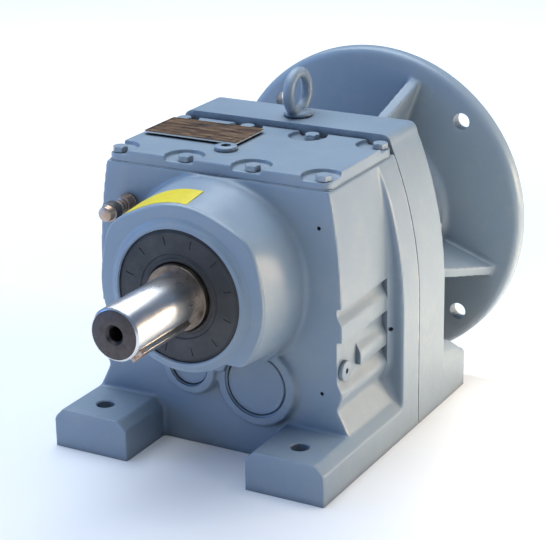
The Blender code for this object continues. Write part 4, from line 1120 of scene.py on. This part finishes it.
def build_floor():
    """Pale floor that drops behind the rear feet, where the motor flange reaches below them."""
    nodes = Nodes("studio_floor")
    tone = nodes.mix(nodes.ramp(nodes.noise(3, 2), 0.3, 0.7), (0.88, 0.88, 0.88), (0.90, 0.90, 0.90))
    # painted light: the floor glows, faintly near the object and more strongly further out
    across, along, _ = nodes.separate()
    distance = nodes.math("POWER", nodes.math("ADD", nodes.math("MULTIPLY", across, across),
                                              nodes.math("MULTIPLY", along, along)), 0.5)
    material = nodes.set(Base_Color=tone, Roughness=0.8, Emission_Color=(1.0, 1.0, 1.0, 1.0),
                         Emission_Strength=nodes.ramp(distance, 0.35, 1.9, 0.08, 0.60))
    shape = bmesh.new()
    edge = FOOT_END + 22
    profile = [(-FLOOR_REACH, -0.4), (edge, -0.4), (edge + 6, -2.4), (edge + 10, -8.0),
               (edge + 12, -60.0), (FLOOR_REACH, -60.0)]
    rows = [[shape.verts.new((x, y, z)) for x in (-FLOOR_REACH, FLOOR_REACH)] for y, z in profile]
    for row, following in zip(rows, rows[1:]):
        shape.faces.new((row[0], row[1], following[1], following[0]))
    floor = add_object("studio_floor", shape)
    floor.data.materials.append(material)


def add_light(name, position, target, size, power, colour, spread=180):
    data = bpy.data.lights.new(name, "AREA")
    data.spread = math.radians(spread)
    data.shape = "RECTANGLE"
    data.size, data.size_y = size
    data.energy = power
    data.color = colour
    light = bpy.data.objects.new(name, data)
    light.location = position
    light.rotation_euler = (Vector(target) - Vector(position)).to_track_quat("-Z", "Y").to_euler()
    bpy.context.scene.collection.objects.link(light)


def build_light():
    """Warm window low on the right and behind, cool skylight above, deep blue fill from the left."""
    target = (0, 0, 0.15)
    add_light("window_right", (1.35, 0.40, 0.30), (0.1, 0.0, 0.10), (0.9, 0.5), 2.7, (1.0, 0.86, 0.66))
    add_light("window_rear", (0.95, 0.75, 0.20), (0.15, 0.21, 0.08), (0.5, 0.35), 0.6,
              (1.0, 0.78, 0.52), 40)
    add_light("floor_right", (0.75, 0.30, 0.90), (0.75, 0.30, 0.0), (0.5, 0.7), 7, (1.0, 0.82, 0.56), 70)
    add_light("sky_top", (-0.5, 0.4, 2.2), target, (2.2, 2.2), 58, (0.84, 0.91, 1.0))
    add_light("sky_front", (0.2, -0.6, 1.7), (0.1, -0.2, 0.0), (0.7, 0.7), 4, (0.72, 0.86, 1.0))
    add_light("blue_left", (-2.2, -1.5, 0.8), target, (1.4, 1.2), 20, (0.14, 0.38, 1.0))
    world = bpy.data.worlds.new("studio")
    world.use_nodes = True
    background = world.node_tree.nodes["Background"]
    background.inputs["Color"].default_value = (0.40, 0.60, 1.0, 1.0)
    background.inputs["Strength"].default_value = 0.22
    bpy.context.scene.world = world
    bpy.context.scene.view_settings.view_transform = "Standard"


def build_camera():
    """Camera in front of the shaft's end, turned to the right, above the base and a little rolled."""
    azimuth, elevation, roll = math.radians(29.22), math.radians(19.77), math.radians(-0.94)
    back = Vector((math.sin(azimuth) * math.cos(elevation), -math.cos(azimuth) * math.cos(elevation),
                   math.sin(elevation)))
    level_right = Vector((0, 0, 1)).cross(back).normalized()
    level_up = back.cross(level_right)
    right = math.cos(roll) * level_right + math.sin(roll) * level_up
    up = -math.sin(roll) * level_right + math.cos(roll) * level_up
    data = bpy.data.cameras.new("camera")
    data.sensor_width = 36.0
    data.lens = 119.9
    data.clip_end = 50
    camera = bpy.data.objects.new("camera", data)
    turn = Matrix((right, up, back)).transposed().to_4x4()
    camera.matrix_world = Matrix.Translation((0.8315, -1.4698, 0.7610)) @ turn
    bpy.context.scene.collection.objects.link(camera)
    bpy.context.scene.camera = camera


def build():
    paint = paint_material()
    steel = polished_steel()
    rubber = dark_rubber()
    build_gear_case(paint)
    build_rear_housing(paint)
    build_input_flange(paint)
    build_cover(paint)
    build_eye_bolt(paint)
    build_fasteners(paint, steel)
    build_plugs(paint)
    build_breather(brass_material(), rubber)
    build_nameplate(plate_material(), plate_edge_material())
    build_boss_label(label_material())
    build_output_shaft(steel, end_face_steel(), collar_steel())
    build_output_key(key_steel())
    build_seal_cover(rubber)
    build_coupling_hub(steel)
    finish_inner_nodes(paint, gear_steel(), rubber, gasket_material())
    build_floor()
    build_light()
    build_camera()


build()
bpy.context.view_layer.update()
